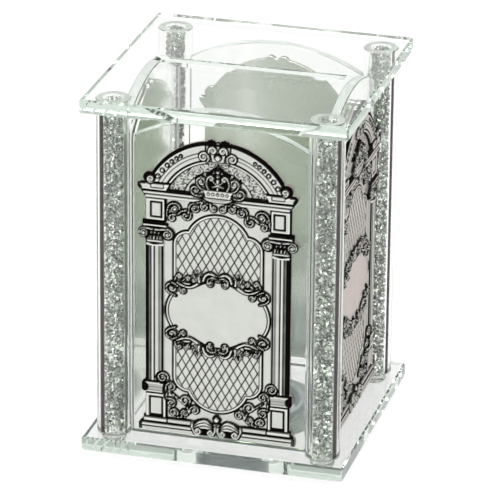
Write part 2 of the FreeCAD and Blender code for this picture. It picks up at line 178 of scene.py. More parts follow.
@dataclass(frozen=True)
class PolishedGlass(Finish):
    """Polished glass, clear through its faces and green along its length, with a trace of handling haze."""

    name: str
    tint: str
    density: float
    painted_shade: str | None = None
    index: float = 1.52
    haze: float = 0.012
    haze_mm: float = 9.0
    haze_clouds: Span = (0.55, 0.8)
    # How far the bore's wall leans away where its painted shade starts to show and where it stops
    shade_starts: Span = (0.18, 0.24)
    shade_stops: Span = (0.5, 0.42)

    def painted_shade_share(self, tree: Tree) -> Socket:
        """Adds the share of a bore's wall where painted shade, a dark diffuse, takes the place of the mirror.

        Seen through the wall, it draws a dark line down each side of the chips.

        Args:
            tree: the material's node tree.

        Returns:
            A socket with the share, from 0 to 1.
        """
        share = add_node(tree, "ShaderNodeAttribute", attribute_name="bore")["Fac"]
        lean = add_node(tree, "ShaderNodeLayerWeight")["Facing"]
        bands = [add_node(tree, "ShaderNodeMapRange",
                          {"Value": lean, "From Min": low, "From Max": high})["Result"]
                 for low, high in (self.shade_starts, self.shade_stops)]
        for other in (*bands, add_node(tree, "ShaderNodeNewGeometry")["Backfacing"]):
            share = add_node(tree, "ShaderNodeMath", {0: share, 1: other}, operation="MULTIPLY")[0]
        return share

    def lay(self, tree: Tree) -> None:
        """Lays out clear glass with a tint in its depth.

        Args:
            tree: the material's empty node tree.
        """
        place = add_node(tree, "ShaderNodeTexCoord")["Object"]
        cloud = add_node(tree, "ShaderNodeTexNoise",
                         {"Vector": place, "Scale": per_metre(self.haze_mm)})["Fac"]
        haze = add_node(tree, "ShaderNodeMapRange",
                        {"Value": cloud, "From Min": self.haze_clouds[0], "From Max": self.haze_clouds[1],
                         "To Max": self.haze})["Result"]
        surface = add_node(tree, "ShaderNodeBsdfPrincipled",
                           {"Base Color": linear("#FFFFFF"), "Transmission Weight": 1.0, "IOR": self.index,
                            "Roughness": haze})["BSDF"]
        if self.painted_shade:
            # The dark diffuse is painted shade: it stands in for the dark that the bore's mirror shows, as a
            # dark line down each side of the chips
            painted_dark = add_node(tree, "ShaderNodeBsdfDiffuse", {"Color": linear(self.painted_shade)})[0]
            surface = add_node(tree, "ShaderNodeMixShader", {0: self.painted_shade_share(tree), 1: surface, 2: painted_dark})[0]
        body = add_node(tree, "ShaderNodeVolumeAbsorption",
                        {"Color": linear(self.tint), "Density": self.density})["Volume"]
        add_node(tree, "ShaderNodeOutputMaterial", {"Surface": surface, "Volume": body})


@dataclass(frozen=True)
class CrushedCrystal(Finish):
    """Broken lead crystal: shiny facets, each painted from clear white to bottle grey as a stand-in for how
    it catches the light.
    """

    name: str = "crushed_lead_crystal"
    pale: str = "#E0EADC"
    deep: str = "#27312A"
    roughness: float = 0.08
    index: float = 1.6
    # Glints at which a facet's painted highlight and shade is deep and pale, and at which it starts and ends
    # turning into a small mirror
    tones: Span = (0.42, 1.4)
    flashes: Span = (1.1, 1.3)

    def lay(self, tree: Tree) -> None:
        """Lays out facets whose painted highlight and shade differ from chip to chip and from face to face.

        Args:
            tree: the material's empty node tree.
        """
        shade = add_node(tree, "ShaderNodeAttribute", attribute_name="shade")["Fac"]
        facet = add_node(tree, "ShaderNodeAttribute", attribute_name="facet")["Fac"]
        glint = add_node(tree, "ShaderNodeMath", {0: shade, 1: facet}, operation="ADD")[0]
        tone, flash = (add_node(tree, "ShaderNodeMapRange",
                                {"Value": glint, "From Min": low, "From Max": high})["Result"]
                       for low, high in (self.tones, self.flashes))
        colour = add_node(tree, "ShaderNodeMix",
                          {"Factor": tone, "A": linear(self.deep), "B": linear(self.pale)},
                          data_type="RGBA")["Result"]
        chip = add_node(tree, "ShaderNodeBsdfPrincipled",
                        {"Base Color": colour, "Metallic": flash, "Roughness": self.roughness,
                         "IOR": self.index})
        add_node(tree, "ShaderNodeOutputMaterial", {"Surface": chip["BSDF"]})


@dataclass(frozen=True)
class AntiqueSilver(Finish):
    """Cast, silver-plated metal, wiped back: satin flats, crests rubbed bright with a painted highlight,
    black patina in every cut, painted shade on steep sides.
    """

    name: str = "antique_silver_plate"
    rubbed_highlight: str = "#F8F9F4"
    bright: str = "#CFD1CB"
    patina: str = "#0A0807"
    glance: str = "#DDC6C9"
    satin_rough: float = 0.36
    patina_rough: float = 0.62
    patina_sheen: float = 0.02
    cloud_mm: float = 6.0
    grain_mm: float = 0.35
    bump: float = 0.12
    bump_mm: float = 0.05
    # The thin patina that wiping leaves in clouds, and the clouds it shows in
    film: float = 0.10
    film_clouds: Span = (0.3, 0.75)

    def lay(self, tree: Tree) -> None:
        """Lays out metal that the mesh's patina and painted shade blacken or its painted highlight brightens.

        Args:
            tree: the material's empty node tree.
        """
        place = add_node(tree, "ShaderNodeTexCoord")["Object"]
        cloud = add_node(tree, "ShaderNodeTexNoise",
                         {"Vector": place, "Scale": per_metre(self.cloud_mm), "Detail": 3.0})["Fac"]
        grain = add_node(tree, "ShaderNodeTexNoise",
                         {"Vector": place, "Scale": per_metre(self.grain_mm), "Detail": 1.0})["Fac"]
        wiped = add_node(tree, "ShaderNodeMapRange",
                         {"Value": cloud, "From Min": self.film_clouds[0], "From Max": self.film_clouds[1],
                          "To Max": self.film})["Result"]
        # The attribute runs from 1, black with patina and painted shade, through 0, plain satin, to -1, a
        # crest that hands have rubbed, painted brighter as a highlight.
        cut = add_node(tree, "ShaderNodeAttribute", attribute_name="patina")["Fac"]
        dirt = add_node(tree, "ShaderNodeMath", {0: cut, 1: wiped}, operation="ADD", use_clamp=True)[0]
        rub_highlight = add_node(tree, "ShaderNodeMapRange", {"Value": cut, "From Max": -1.0})["Result"]
        satin = add_node(tree, "ShaderNodeMix",
                         {"Factor": rub_highlight, "A": linear(self.bright), "B": linear(self.rubbed_highlight)},
                         data_type="RGBA")["Result"]
        colour = add_node(tree, "ShaderNodeMix", {"Factor": dirt, "A": satin, "B": linear(self.patina)},
                          data_type="RGBA")["Result"]
        rough = add_node(tree, "ShaderNodeMapRange",
                         {"Value": dirt, "To Min": self.satin_rough, "To Max": self.patina_rough})["Result"]
        metal = add_node(tree, "ShaderNodeMapRange", {"Value": dirt, "To Min": 1.0, "To Max": 0.0})["Result"]
        bump = add_node(tree, "ShaderNodeBump",
                        {"Height": grain, "Strength": self.bump, "Distance": self.bump_mm * MM})["Normal"]
        plate = add_node(tree, "ShaderNodeBsdfPrincipled",
                         {"Base Color": colour, "Roughness": rough, "Metallic": metal, "Normal": bump,
                          "Specular IOR Level": self.patina_sheen, "Specular Tint": linear(self.glance)})
        add_node(tree, "ShaderNodeOutputMaterial", {"Surface": plate["BSDF"]})


@dataclass(frozen=True)
class BareCasting(Finish):
    """The unworked back of a zinc casting under thin silver plate: pale satin metal with soft flow clouds."""

    name: str = "bare_cast_back"
    tone: str = "#FCFFF7"
    cloudy: str = "#F5FAF0"
    rough: Span = (0.22, 0.32)
    cloud_mm: float = 14.0

    def lay(self, tree: Tree) -> None:
        """Lays out satin metal with soft clouds.

        Args:
            tree: the material's empty node tree.
        """
        place = add_node(tree, "ShaderNodeTexCoord")["Object"]
        cloud = add_node(tree, "ShaderNodeTexNoise",
                         {"Vector": place, "Scale": per_metre(self.cloud_mm), "Detail": 3.0})["Fac"]
        colour = add_node(tree, "ShaderNodeMix",
                          {"Factor": cloud, "A": linear(self.tone), "B": linear(self.cloudy)},
                          data_type="RGBA")["Result"]
        rough = add_node(tree, "ShaderNodeMapRange",
                         {"Value": cloud, "To Min": self.rough[0], "To Max": self.rough[1]})["Result"]
        metal = add_node(tree, "ShaderNodeBsdfPrincipled",
                         {"Base Color": colour, "Roughness": rough, "Metallic": 1.0})
        add_node(tree, "ShaderNodeOutputMaterial", {"Surface": metal["BSDF"]})


@dataclass(frozen=True)
class EvenBody(Finish):
    """Plastic, gel, cured bond or ground glass: one even tone with faint clouds and a fine soft grain."""

    name: str
    tone: str
    cloudy: str
    roughness: float
    transmission: float = 0.0
    cloud_mm: float = 7.0
    grain_mm: float = 0.5
    bump: float = 0.1
    bump_mm: float = 0.05

    def lay(self, tree: Tree) -> None:
        """Lays out an even body, clear or not.

        Args:
            tree: the material's empty node tree.
        """
        place = add_node(tree, "ShaderNodeTexCoord")["Object"]
        cloud, grain = (add_node(tree, "ShaderNodeTexNoise",
                                 {"Vector": place, "Scale": per_metre(size)})["Fac"]
                        for size in (self.cloud_mm, self.grain_mm))
        colour = add_node(tree, "ShaderNodeMix",
                          {"Factor": cloud, "A": linear(self.tone), "B": linear(self.cloudy)},
                          data_type="RGBA")["Result"]
        bump = add_node(tree, "ShaderNodeBump",
                        {"Height": grain, "Strength": self.bump, "Distance": self.bump_mm * MM})["Normal"]
        stuff = add_node(tree, "ShaderNodeBsdfPrincipled",
                         {"Base Color": colour, "Normal": bump, "Roughness": self.roughness,
                          "Transmission Weight": self.transmission})
        add_node(tree, "ShaderNodeOutputMaterial", {"Surface": stuff["BSDF"]})


# Float glass, cut and polished: clear in its faces, pale green along its edges
PLATE_GLASS = PolishedGlass("polished_plate_glass", "#BACFBD", 9.0)
PANE_GLASS = PolishedGlass("polished_pane_glass", "#B4D4A8", 11.0)
# Drawn tube, fire-polished outside, with a painted shade line on the outward side of its bore
TUBE_GLASS = PolishedGlass("drawn_tube_glass", "#B2CDB0", 6.0, painted_shade="#463E3C")
CRYSTAL = CrushedCrystal()
SILVER = AntiqueSilver()
CAST_BACK = BareCasting()
# Moulded soft vinyl: pale, dull and even
STOPPER = EvenBody("soft_grey_pvc", "#D6DEDF", "#CCD6D8", 0.5)
# Glass as the grinding wheel leaves it: pale and frosted, with no mirror in it
GROUND_EDGE = EvenBody("ground_glass_edge", "#E2EAE2", "#D3DCD4", 0.5, transmission=0.3)
# A film of clear adhesive between glass and glass: a grey-green ring at each tube's end
BOND = EvenBody("cured_bond_film", "#BFCBBD", "#B0BDAE", 0.3, transmission=0.3)
# Cast clear gel: glassy, with soft edges
FOOT_GEL = EvenBody("clear_gel_foot", "#F2F4F2", "#E6EAE6", 0.15, transmission=0.9)


def mesh_piece(name: str, points: Iterable, faces: Iterable) -> Piece:
    """Makes an object from points in millimetres and faces.

    Args:
        name: the piece's name.
        points: the points, in the shared frame.
        faces: the faces, as numbers of points.

    Returns:
        The object, at the origin.
    """
    mesh = bpy.data.meshes.new(name)
    mesh.from_pydata([tuple(c * MM for c in p) for p in points], [], [tuple(f) for f in faces])
    mesh.update()
    piece = bpy.data.objects.new(name, mesh)
    bpy.context.scene.collection.objects.link(piece)
    return piece


def smooth(piece: Piece, angle: float = 35.0) -> None:
    """Shades a piece smooth, with creases where its faces meet at more than an angle.

    Args:
        piece: the piece.
        angle: the crease angle in degrees.
    """
    shape = bmesh.new()
    shape.from_mesh(piece.data)
    bmesh.ops.recalc_face_normals(shape, faces=shape.faces)
    limit = math.radians(angle)
    for face in shape.faces:
        face.smooth = True
    for edge in shape.edges:
        edge.smooth = len(edge.link_faces) == 2 and edge.calc_face_angle() < limit
    shape.to_mesh(piece.data)
    shape.free()


def finished(piece: Piece) -> Piece:
    """Bakes a piece's modifiers into its mesh.

    Args:
        piece: the piece.

    Returns:
        The same piece, with a plain mesh.
    """
    ready = piece.evaluated_get(bpy.context.evaluated_depsgraph_get())
    mesh = bpy.data.meshes.new_from_object(ready)
    piece.modifiers.clear()
    piece.data = mesh
    return piece


def bevelled(piece: Piece, width: float, segments: int = 2) -> Piece:
    """Takes the sharp edges off a piece.

    Args:
        piece: the piece.
        width: the width of the arris in millimetres.
        segments: the number of steps across the arris.

    Returns:
        The same piece.
    """
    arris = piece.modifiers.new("arris", "BEVEL")
    arris.width = width * MM
    arris.segments = segments
    arris.limit_method = "ANGLE"
    arris.angle_limit = math.radians(ARRIS_ANGLE)
    return finished(piece)


def lathe(name: str, profile: Sequence[Point], centre: Point, steps: int) -> Piece:
    """Turns a closed profile about an upright axis.

    Args:
        name: the piece's name.
        profile: radius and height of each corner, in order; a zero radius is on the axis.
        centre: the axis, along X and Y.
        steps: the number of facets round the axis.

    Returns:
        The piece.
    """
    points, rings = [], []
    for radius, height in profile:
        count = 1 if radius == 0 else steps
        rings.append([len(points) + i for i in range(count)])
        for i in range(count):
            turn = 2 * math.pi * i / steps
            points.append((centre[0] + radius * math.cos(turn), centre[1] + radius * math.sin(turn), height))
    faces = []
    closed = profile[0][0] > 0
    pairs = zip(rings, rings[1:] + rings[:1]) if closed else zip(rings, rings[1:])
    for low, high in pairs:
        for i in range(steps):
            j = (i + 1) % steps
            corners = [low[i % len(low)], low[j % len(low)], high[j % len(high)], high[i % len(high)]]
            faces.append(list(dict.fromkeys(corners)))
    return mesh_piece(name, points, [f for f in faces if len(f) > 2])


def dress(piece: Piece, finish: Finish | None, slot: str, body: str, *nodes: str) -> Piece:
    """Gives a piece its finish, its body and the nodes that it stands for.

    Args:
        piece: the piece.
        finish: the finish of the whole piece, or None where its faces have theirs.
        slot: the record's material slot; not used.
        body: the body it moves with.
        nodes: the nodes that it replaces.

    Returns:
        The same piece.
    """
    if finish is not None:
        piece.data.materials.clear()
        piece.data.materials.append(finish.material())
    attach(piece, body)
    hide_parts(*nodes)
    LOG.info("%s: %d faces", piece.name, len(piece.data.polygons))
    return piece


@dataclass
class Levels:
    """Heights and places that the sub-assemblies share, in millimetres."""

    foot: float = 2.3
    plate: float = 5.5
    tube_length: float = 128.0
    tube_axis: float = 40.0
    seam: float = 0.03

    @property
    def base_top(self) -> float:
        """Height of the base plate's upper face."""
        return self.foot + self.plate

    @property
    def lid_bottom(self) -> float:
        """Height of the top plate's lower face."""
        return self.base_top + self.tube_length


LEVELS = Levels()


@dataclass
class Plates:
    """The base plate and the slotted top plate, which keep their own solids."""

    names: tuple[str, str] = ("base_plate", "top_plate")

    def build(self) -> None:
        """Dresses both plates in polished glass."""
        for name in self.names:
            mesh = frame["nodes"][name].data
            mesh.materials.clear()
            mesh.materials.append(PLATE_GLASS.material())
            LOG.info("%s: own solid", name)


@dataclass
class CornerTubes:
    """Four thick-walled glass tubes with crushed crystal in their bores."""

    outer: float = 13.0
    bore: float = 7.8
    rim: float = 0.25
    steps: int = 96
    end_face: float = 0.99
    # A painted shade line lies on the outward side of the bore's wall
    near_bore: float = 1.02
    shade_lean: float = 0.47
    # Crystal chips: their size and number, and how far they keep from the wall and from both ends
    chip: float = 1.4
    chips: int = 2300
    chip_range: Span = (0.42, 1.15)
    wall_gap: float = 0.06
    lift: float = 0.1
    headroom: float = 0.5
    # The few shapes that they are broken into
    kinds: int = 7
    chip_corners: int = 9
    chip_reach: Span = (0.6, 1.0)
    chip_stretch: tuple[float, float, float] = (1.0, 0.8, 0.62)
    # Steps of an even sequence, which spreads the chips with no clumps
    even_steps: tuple[float, float, float] = (0.8191725, 0.6710436, 0.5497005)
    core: float = 0.4
    inset: float = 0.25
    seed: int = 11
    shade_seed: int = 5

    def tube(self, corner: Corner) -> None:
        """Builds one glass tube.

        Args:
            corner: the corner it stands in.
        """
        low, high = LEVELS.base_top + LEVELS.seam, LEVELS.lid_bottom - LEVELS.seam
        out, hole, rim = self.outer / 2, self.bore / 2, self.rim
        profile = [(hole, low), (out - rim, low), (out, low + rim),
                   (out, high - rim), (out - rim, high), (hole, high)]
        name = corner.name.lower()
        centre = tuple(s * LEVELS.tube_axis for s in corner.value)
        piece = lathe(f"glass_tube_{name}", profile, centre, self.steps)
        smooth(piece)
        dress(piece, TUBE_GLASS, "tube_glass", "box", f"corner_tube_{name}")
        piece.data.materials.append(BOND.material())
        bore = piece.data.attributes.new("bore", "FLOAT", "FACE")
        outward = Vector(corner.value).normalized()
        for face in piece.data.polygons:
            face.material_index = int(abs(face.normal.z) > self.end_face)
            arm = face.center.xy / MM - Vector(centre)
            painted_stripe = arm.length < self.near_bore * hole and arm.dot(outward) > self.shade_lean * arm.length
            bore.data[face.index].value = float(painted_stripe)

    def chip_shapes(self) -> bpy.types.Collection:
        """Makes the few broken shapes that all the chips are copies of.

        Returns:
            A collection that holds them.
        """
        draw = random.Random(self.seed)
        shapes = bpy.data.collections.new("chip_shapes")
        for kind in range(self.kinds):
            chip = bmesh.new()
            for _ in range(self.chip_corners):
                way = Vector([draw.gauss(0, 1) for _ in range(3)]).normalized()
                reach = draw.uniform(*self.chip_reach)
                chip.verts.new([reach * w * s for w, s in zip(way, self.chip_stretch)])
            hull = bmesh.ops.convex_hull(chip, input=chip.verts)
            loose = [v for v in hull["geom_interior"] if isinstance(v, bmesh.types.BMVert)]
            bmesh.ops.delete(chip, geom=loose, context="VERTS")
            mesh = bpy.data.meshes.new(f"chip_{kind}")
            chip.to_mesh(mesh)
            chip.free()
            glint = mesh.attributes.new("facet", "FLOAT", "FACE")
            glint.data.foreach_set("value", [draw.random() for _ in mesh.polygons])
            shapes.objects.link(bpy.data.objects.new(f"chip_{kind}", mesh))
        return shapes

    def scattered(self, tree: Tree, given: Outputs) -> Socket:
        """Adds chips at even places in a bore, each turned, sized and given a painted shade by chance.

        Args:
            tree: the packing tree.
            given: the tree's inputs.

        Returns:
            A socket with the chips as one mesh.
        """
        index = add_node(tree, "GeometryNodeInputIndex")["Index"]
        shares = []
        for step in self.even_steps:
            far = add_node(tree, "ShaderNodeMath", {0: index, 1: step}, operation="MULTIPLY")[0]
            shares.append(add_node(tree, "ShaderNodeMath", {0: far}, operation="FRACT")[0])
        # The core of the bore can't be seen, so it stays empty.
        outward = add_node(tree, "ShaderNodeMapRange", {"Value": shares[0], "To Min": self.core})
        root = add_node(tree, "ShaderNodeMath", {0: outward["Result"]}, operation="SQRT")[0]
        room = add_node(tree, "ShaderNodeMath",
                        {0: given["Chip Size"], 1: -self.inset, 2: given["Bore Radius"]},
                        operation="MULTIPLY_ADD")[0]
        radius = add_node(tree, "ShaderNodeMath", {0: root, 1: room}, operation="MULTIPLY")[0]
        turn = add_node(tree, "ShaderNodeMath", {0: shares[1], 1: math.tau}, operation="MULTIPLY")[0]
        rise = add_node(tree, "ShaderNodeMath", {0: shares[2], 1: given["Height"]}, operation="MULTIPLY")[0]
        arm = add_node(tree, "ShaderNodeCombineXYZ", {"X": radius, "Z": rise})[0]
        spot = add_node(tree, "ShaderNodeVectorRotate", {"Vector": arm, "Angle": turn},
                        rotation_type="Z_AXIS")[0]
        dots = add_node(tree, "GeometryNodePoints", {"Count": given["Count"], "Position": spot})[0]
        # A random node has sockets for each type, so those of a number are found by their places.
        spin = add_node(tree, "FunctionNodeRandomValue", {"Max": (math.tau,) * 3, "Seed": given["Seed"]},
                        data_type="FLOAT_VECTOR")[0]
        grow = add_node(tree, "FunctionNodeRandomValue",
                        {2: self.chip_range[0], 3: self.chip_range[1], "Seed": given["Seed"]},
                        data_type="FLOAT")[1]
        which = add_node(tree, "FunctionNodeRandomValue", {4: 0, 5: self.kinds - 1, "Seed": given["Seed"]},
                         data_type="INT")[2]
        tone = add_node(tree, "FunctionNodeRandomValue", {"Seed": self.shade_seed}, data_type="FLOAT")[1]
        size = add_node(tree, "ShaderNodeMath", {0: grow, 1: given["Chip Size"]}, operation="MULTIPLY")[0]
        shapes = add_node(tree, "GeometryNodeCollectionInfo",
                          {"Collection": given["Chips"], "Separate Children": True,
                           "Reset Children": True})[0]
        copies = add_node(tree, "GeometryNodeInstanceOnPoints",
                          {"Points": dots, "Instance": shapes, "Pick Instance": True, "Instance Index": which,
                           "Rotation": spin, "Scale": size})[0]
        shaded = add_node(tree, "GeometryNodeStoreNamedAttribute",
                          {"Geometry": copies, "Name": "shade", "Value": tone},
                          data_type="FLOAT", domain="INSTANCE")[0]
        return add_node(tree, "GeometryNodeRealizeInstances", {"Geometry": shaded})[0]

    def packing(self) -> Tree:
        """Makes the node tree that packs chips into a bore and presses them flat against its wall.

        Returns:
            The tree, with named inputs for the bore, the height, the chip size, the count and the seed.
        """
        tree = bpy.data.node_groups.new("crystal_packing", "GeometryNodeTree")
        for name, kind in (("Chips", "Collection"), ("Bore Radius", "Float"), ("Height", "Float"),
                           ("Chip Size", "Float"), ("Count", "Int"), ("Seed", "Int"),
                           ("Crystal", "Material")):
            tree.interface.new_socket(name, in_out="INPUT", socket_type=f"NodeSocket{kind}")
        tree.interface.new_socket("Geometry", in_out="OUTPUT", socket_type="NodeSocketGeometry")
        given = add_node(tree, "NodeGroupInput")
        chips = self.scattered(tree, given)
        where = add_node(tree, "ShaderNodeSeparateXYZ", {0: add_node(tree, "GeometryNodeInputPosition")[0]})
        flat = add_node(tree, "ShaderNodeCombineXYZ", {"X": where["X"], "Y": where["Y"]})[0]
        reach = add_node(tree, "ShaderNodeVectorMath", {0: flat}, operation="LENGTH")["Value"]
        share = add_node(tree, "ShaderNodeMath", {0: given["Bore Radius"], 1: reach}, operation="DIVIDE")[0]
        held = add_node(tree, "ShaderNodeMath", {0: share, 1: 1.0}, operation="MINIMUM")[0]
        pressed = add_node(tree, "ShaderNodeVectorMath", {0: flat, "Scale": held}, operation="SCALE")[0]
        high = add_node(tree, "ShaderNodeClamp", {"Value": where["Z"], "Max": given["Height"]})[0]
        up = add_node(tree, "ShaderNodeCombineXYZ", {"Z": high})[0]
        packed = add_node(tree, "ShaderNodeVectorMath", {0: pressed, 1: up}, operation="ADD")[0]
        inside = add_node(tree, "GeometryNodeSetPosition", {"Geometry": chips, "Position": packed})[0]
        shown = add_node(tree, "GeometryNodeSetMaterial",
                         {"Geometry": inside, "Material": given["Crystal"]})[0]
        add_node(tree, "NodeGroupOutput", {"Geometry": shown})
        return tree

    def fill(self, corner: Corner, tree: Tree, shapes: bpy.types.Collection, seed: int) -> None:
        """Packs the chips of one tube.

        Args:
            corner: the corner the tube stands in.
            tree: the packing tree.
            shapes: the chip shapes.
            seed: the seed of this tube's draws.
        """
        name = corner.name.lower()
        piece = mesh_piece(f"crystal_chips_{name}", [], [])
        pack = piece.modifiers.new("packing", "NODES")
        pack.node_group = tree
        given = {"Chips": shapes, "Bore Radius": (self.bore / 2 - self.wall_gap) * MM,
                 "Height": (LEVELS.tube_length - self.headroom) * MM, "Chip Size": self.chip * MM,
                 "Count": self.chips, "Seed": seed, "Crystal": CRYSTAL.material()}
        for item in tree.interface.items_tree:
            if item.in_out == "INPUT":
                pack[item.identifier] = given[item.name]
        finished(piece)
        x, y = (s * LEVELS.tube_axis * MM for s in corner.value)
        piece.data.transform(Matrix.Translation((x, y, (LEVELS.base_top + self.lift) * MM)))
        dress(piece, None, "crushed_crystal", "box", f"crystal_fill_{name}")

    def build(self) -> None:
        """Builds the four tubes and their fills."""
        shapes = self.chip_shapes()
        tree = self.packing()
        for number, corner in enumerate(Corner):
            self.tube(corner)
            self.fill(corner, tree, shapes, self.seed + number)
        for chip in list(shapes.objects):
            bpy.data.objects.remove(chip)
        bpy.data.collections.remove(shapes)


@dataclass
class Panes:
    """Four glass walls with an arched top edge, standing between the tubes."""

    half: float = 33.35
    thick: float = 4.0
    radius: float = 66.0
    crown_gap: float = 1.5
    arris: float = 0.35
    crease: float = 15.0
    ground: float = 0.2
    steps: int = 48

    def build(self) -> None:
        """Builds the four panes."""
        low = LEVELS.base_top + LEVELS.seam
        crown = LEVELS.lid_bottom - self.crown_gap
        reach = math.asin(self.half / self.radius)
        turns = [reach - 2 * reach * i / self.steps for i in range(self.steps + 1)]
        arch = [(self.radius * math.sin(t), crown - self.radius * (1 - math.cos(t))) for t in turns]
        edge = [(-self.half, low), (self.half, low), *arch]
        count = len(edge)
        for side in Side:
            points = [(x, -LEVELS.tube_axis + y, z) for y in (0.0, self.thick) for x, z in edge]
            faces = [range(count), range(2 * count - 1, count - 1, -1)]
            faces += [(i, i + count, (i + 1) % count + count, (i + 1) % count) for i in range(count)]
            name = side.name.lower()
            piece = mesh_piece(f"pane_{name}", points, faces)
            bevelled(piece, self.arris)
            smooth(piece, self.crease)
            dress(piece, PANE_GLASS, "clear_glass", "box", f"glass_pane_{name}")
            piece.data.materials.append(GROUND_EDGE.material())
            for face in piece.data.polygons:
                face.material_index = int(abs(face.normal.y) < self.ground)
            piece.data.transform(Matrix.Rotation(math.radians(side.value), 4, "Z"))


def blend(low: np.ndarray, high: np.ndarray | float, share: np.ndarray | float) -> np.ndarray:
    """Mixes two fields by a share from 0 to 1."""
    return low + (high - low) * share


def curve(points: Sequence[Point], steps: int = 8) -> np.ndarray:
    """Draws a smooth line through a few points.

    Args:
        points: the points, in order.
        steps: the number of steps between two of them.

    Returns:
        The line's points.
    """
    knots = np.array(points, float)
    if len(knots) < 3:
        share = np.linspace(0, 1, steps + 1)[:, None]
        return knots[0] * (1 - share) + knots[-1] * share
    ends = np.vstack([2 * knots[0] - knots[1], knots, 2 * knots[-1] - knots[-2]])
    line = [knots[:1]]
    share = np.linspace(0, 1, steps + 1)[1:, None]
    for a, b, c, d in zip(ends, ends[1:], ends[2:], ends[3:]):
        line.append(0.5 * (2 * b + (c - a) * share + (2 * a - 5 * b + 4 * c - d) * share ** 2
                           + (3 * b - a - 3 * c + d) * share ** 3))
    return np.vstack(line)


@dataclass(frozen=True)
class Scroll:
    """A stem that winds up into a curl. Places are across from the middle and up from the plaque's foot."""

    eye: Point
    radius: float
    hand: int
    stem: tuple[Point, ...]
    turns: float = 1.2
    weight: float = 0.47
    rise: float = 0.55
    lead: float = 0.6
    steps: int = 26
    wind: float = 0.74

    def line(self) -> np.ndarray:
        """Draws the stem and the curl, which starts a little past the stem's last point.

        Returns:
            The points along both.
        """
        last = self.stem[-1]
        start = math.atan2(last[1] - self.eye[1], last[0] - self.eye[0]) + self.hand * self.lead
        share = np.linspace(0, 1, int(self.steps * self.turns))
        turn = start + self.hand * share * self.turns * 2 * math.pi
        reach = self.radius * (1 - self.wind * share)
        curl = np.stack([self.eye[0] + reach * np.cos(turn), self.eye[1] + reach * np.sin(turn)], 1)
        return np.vstack([curve([*self.stem, tuple(curl[0])])[:-1], curl])


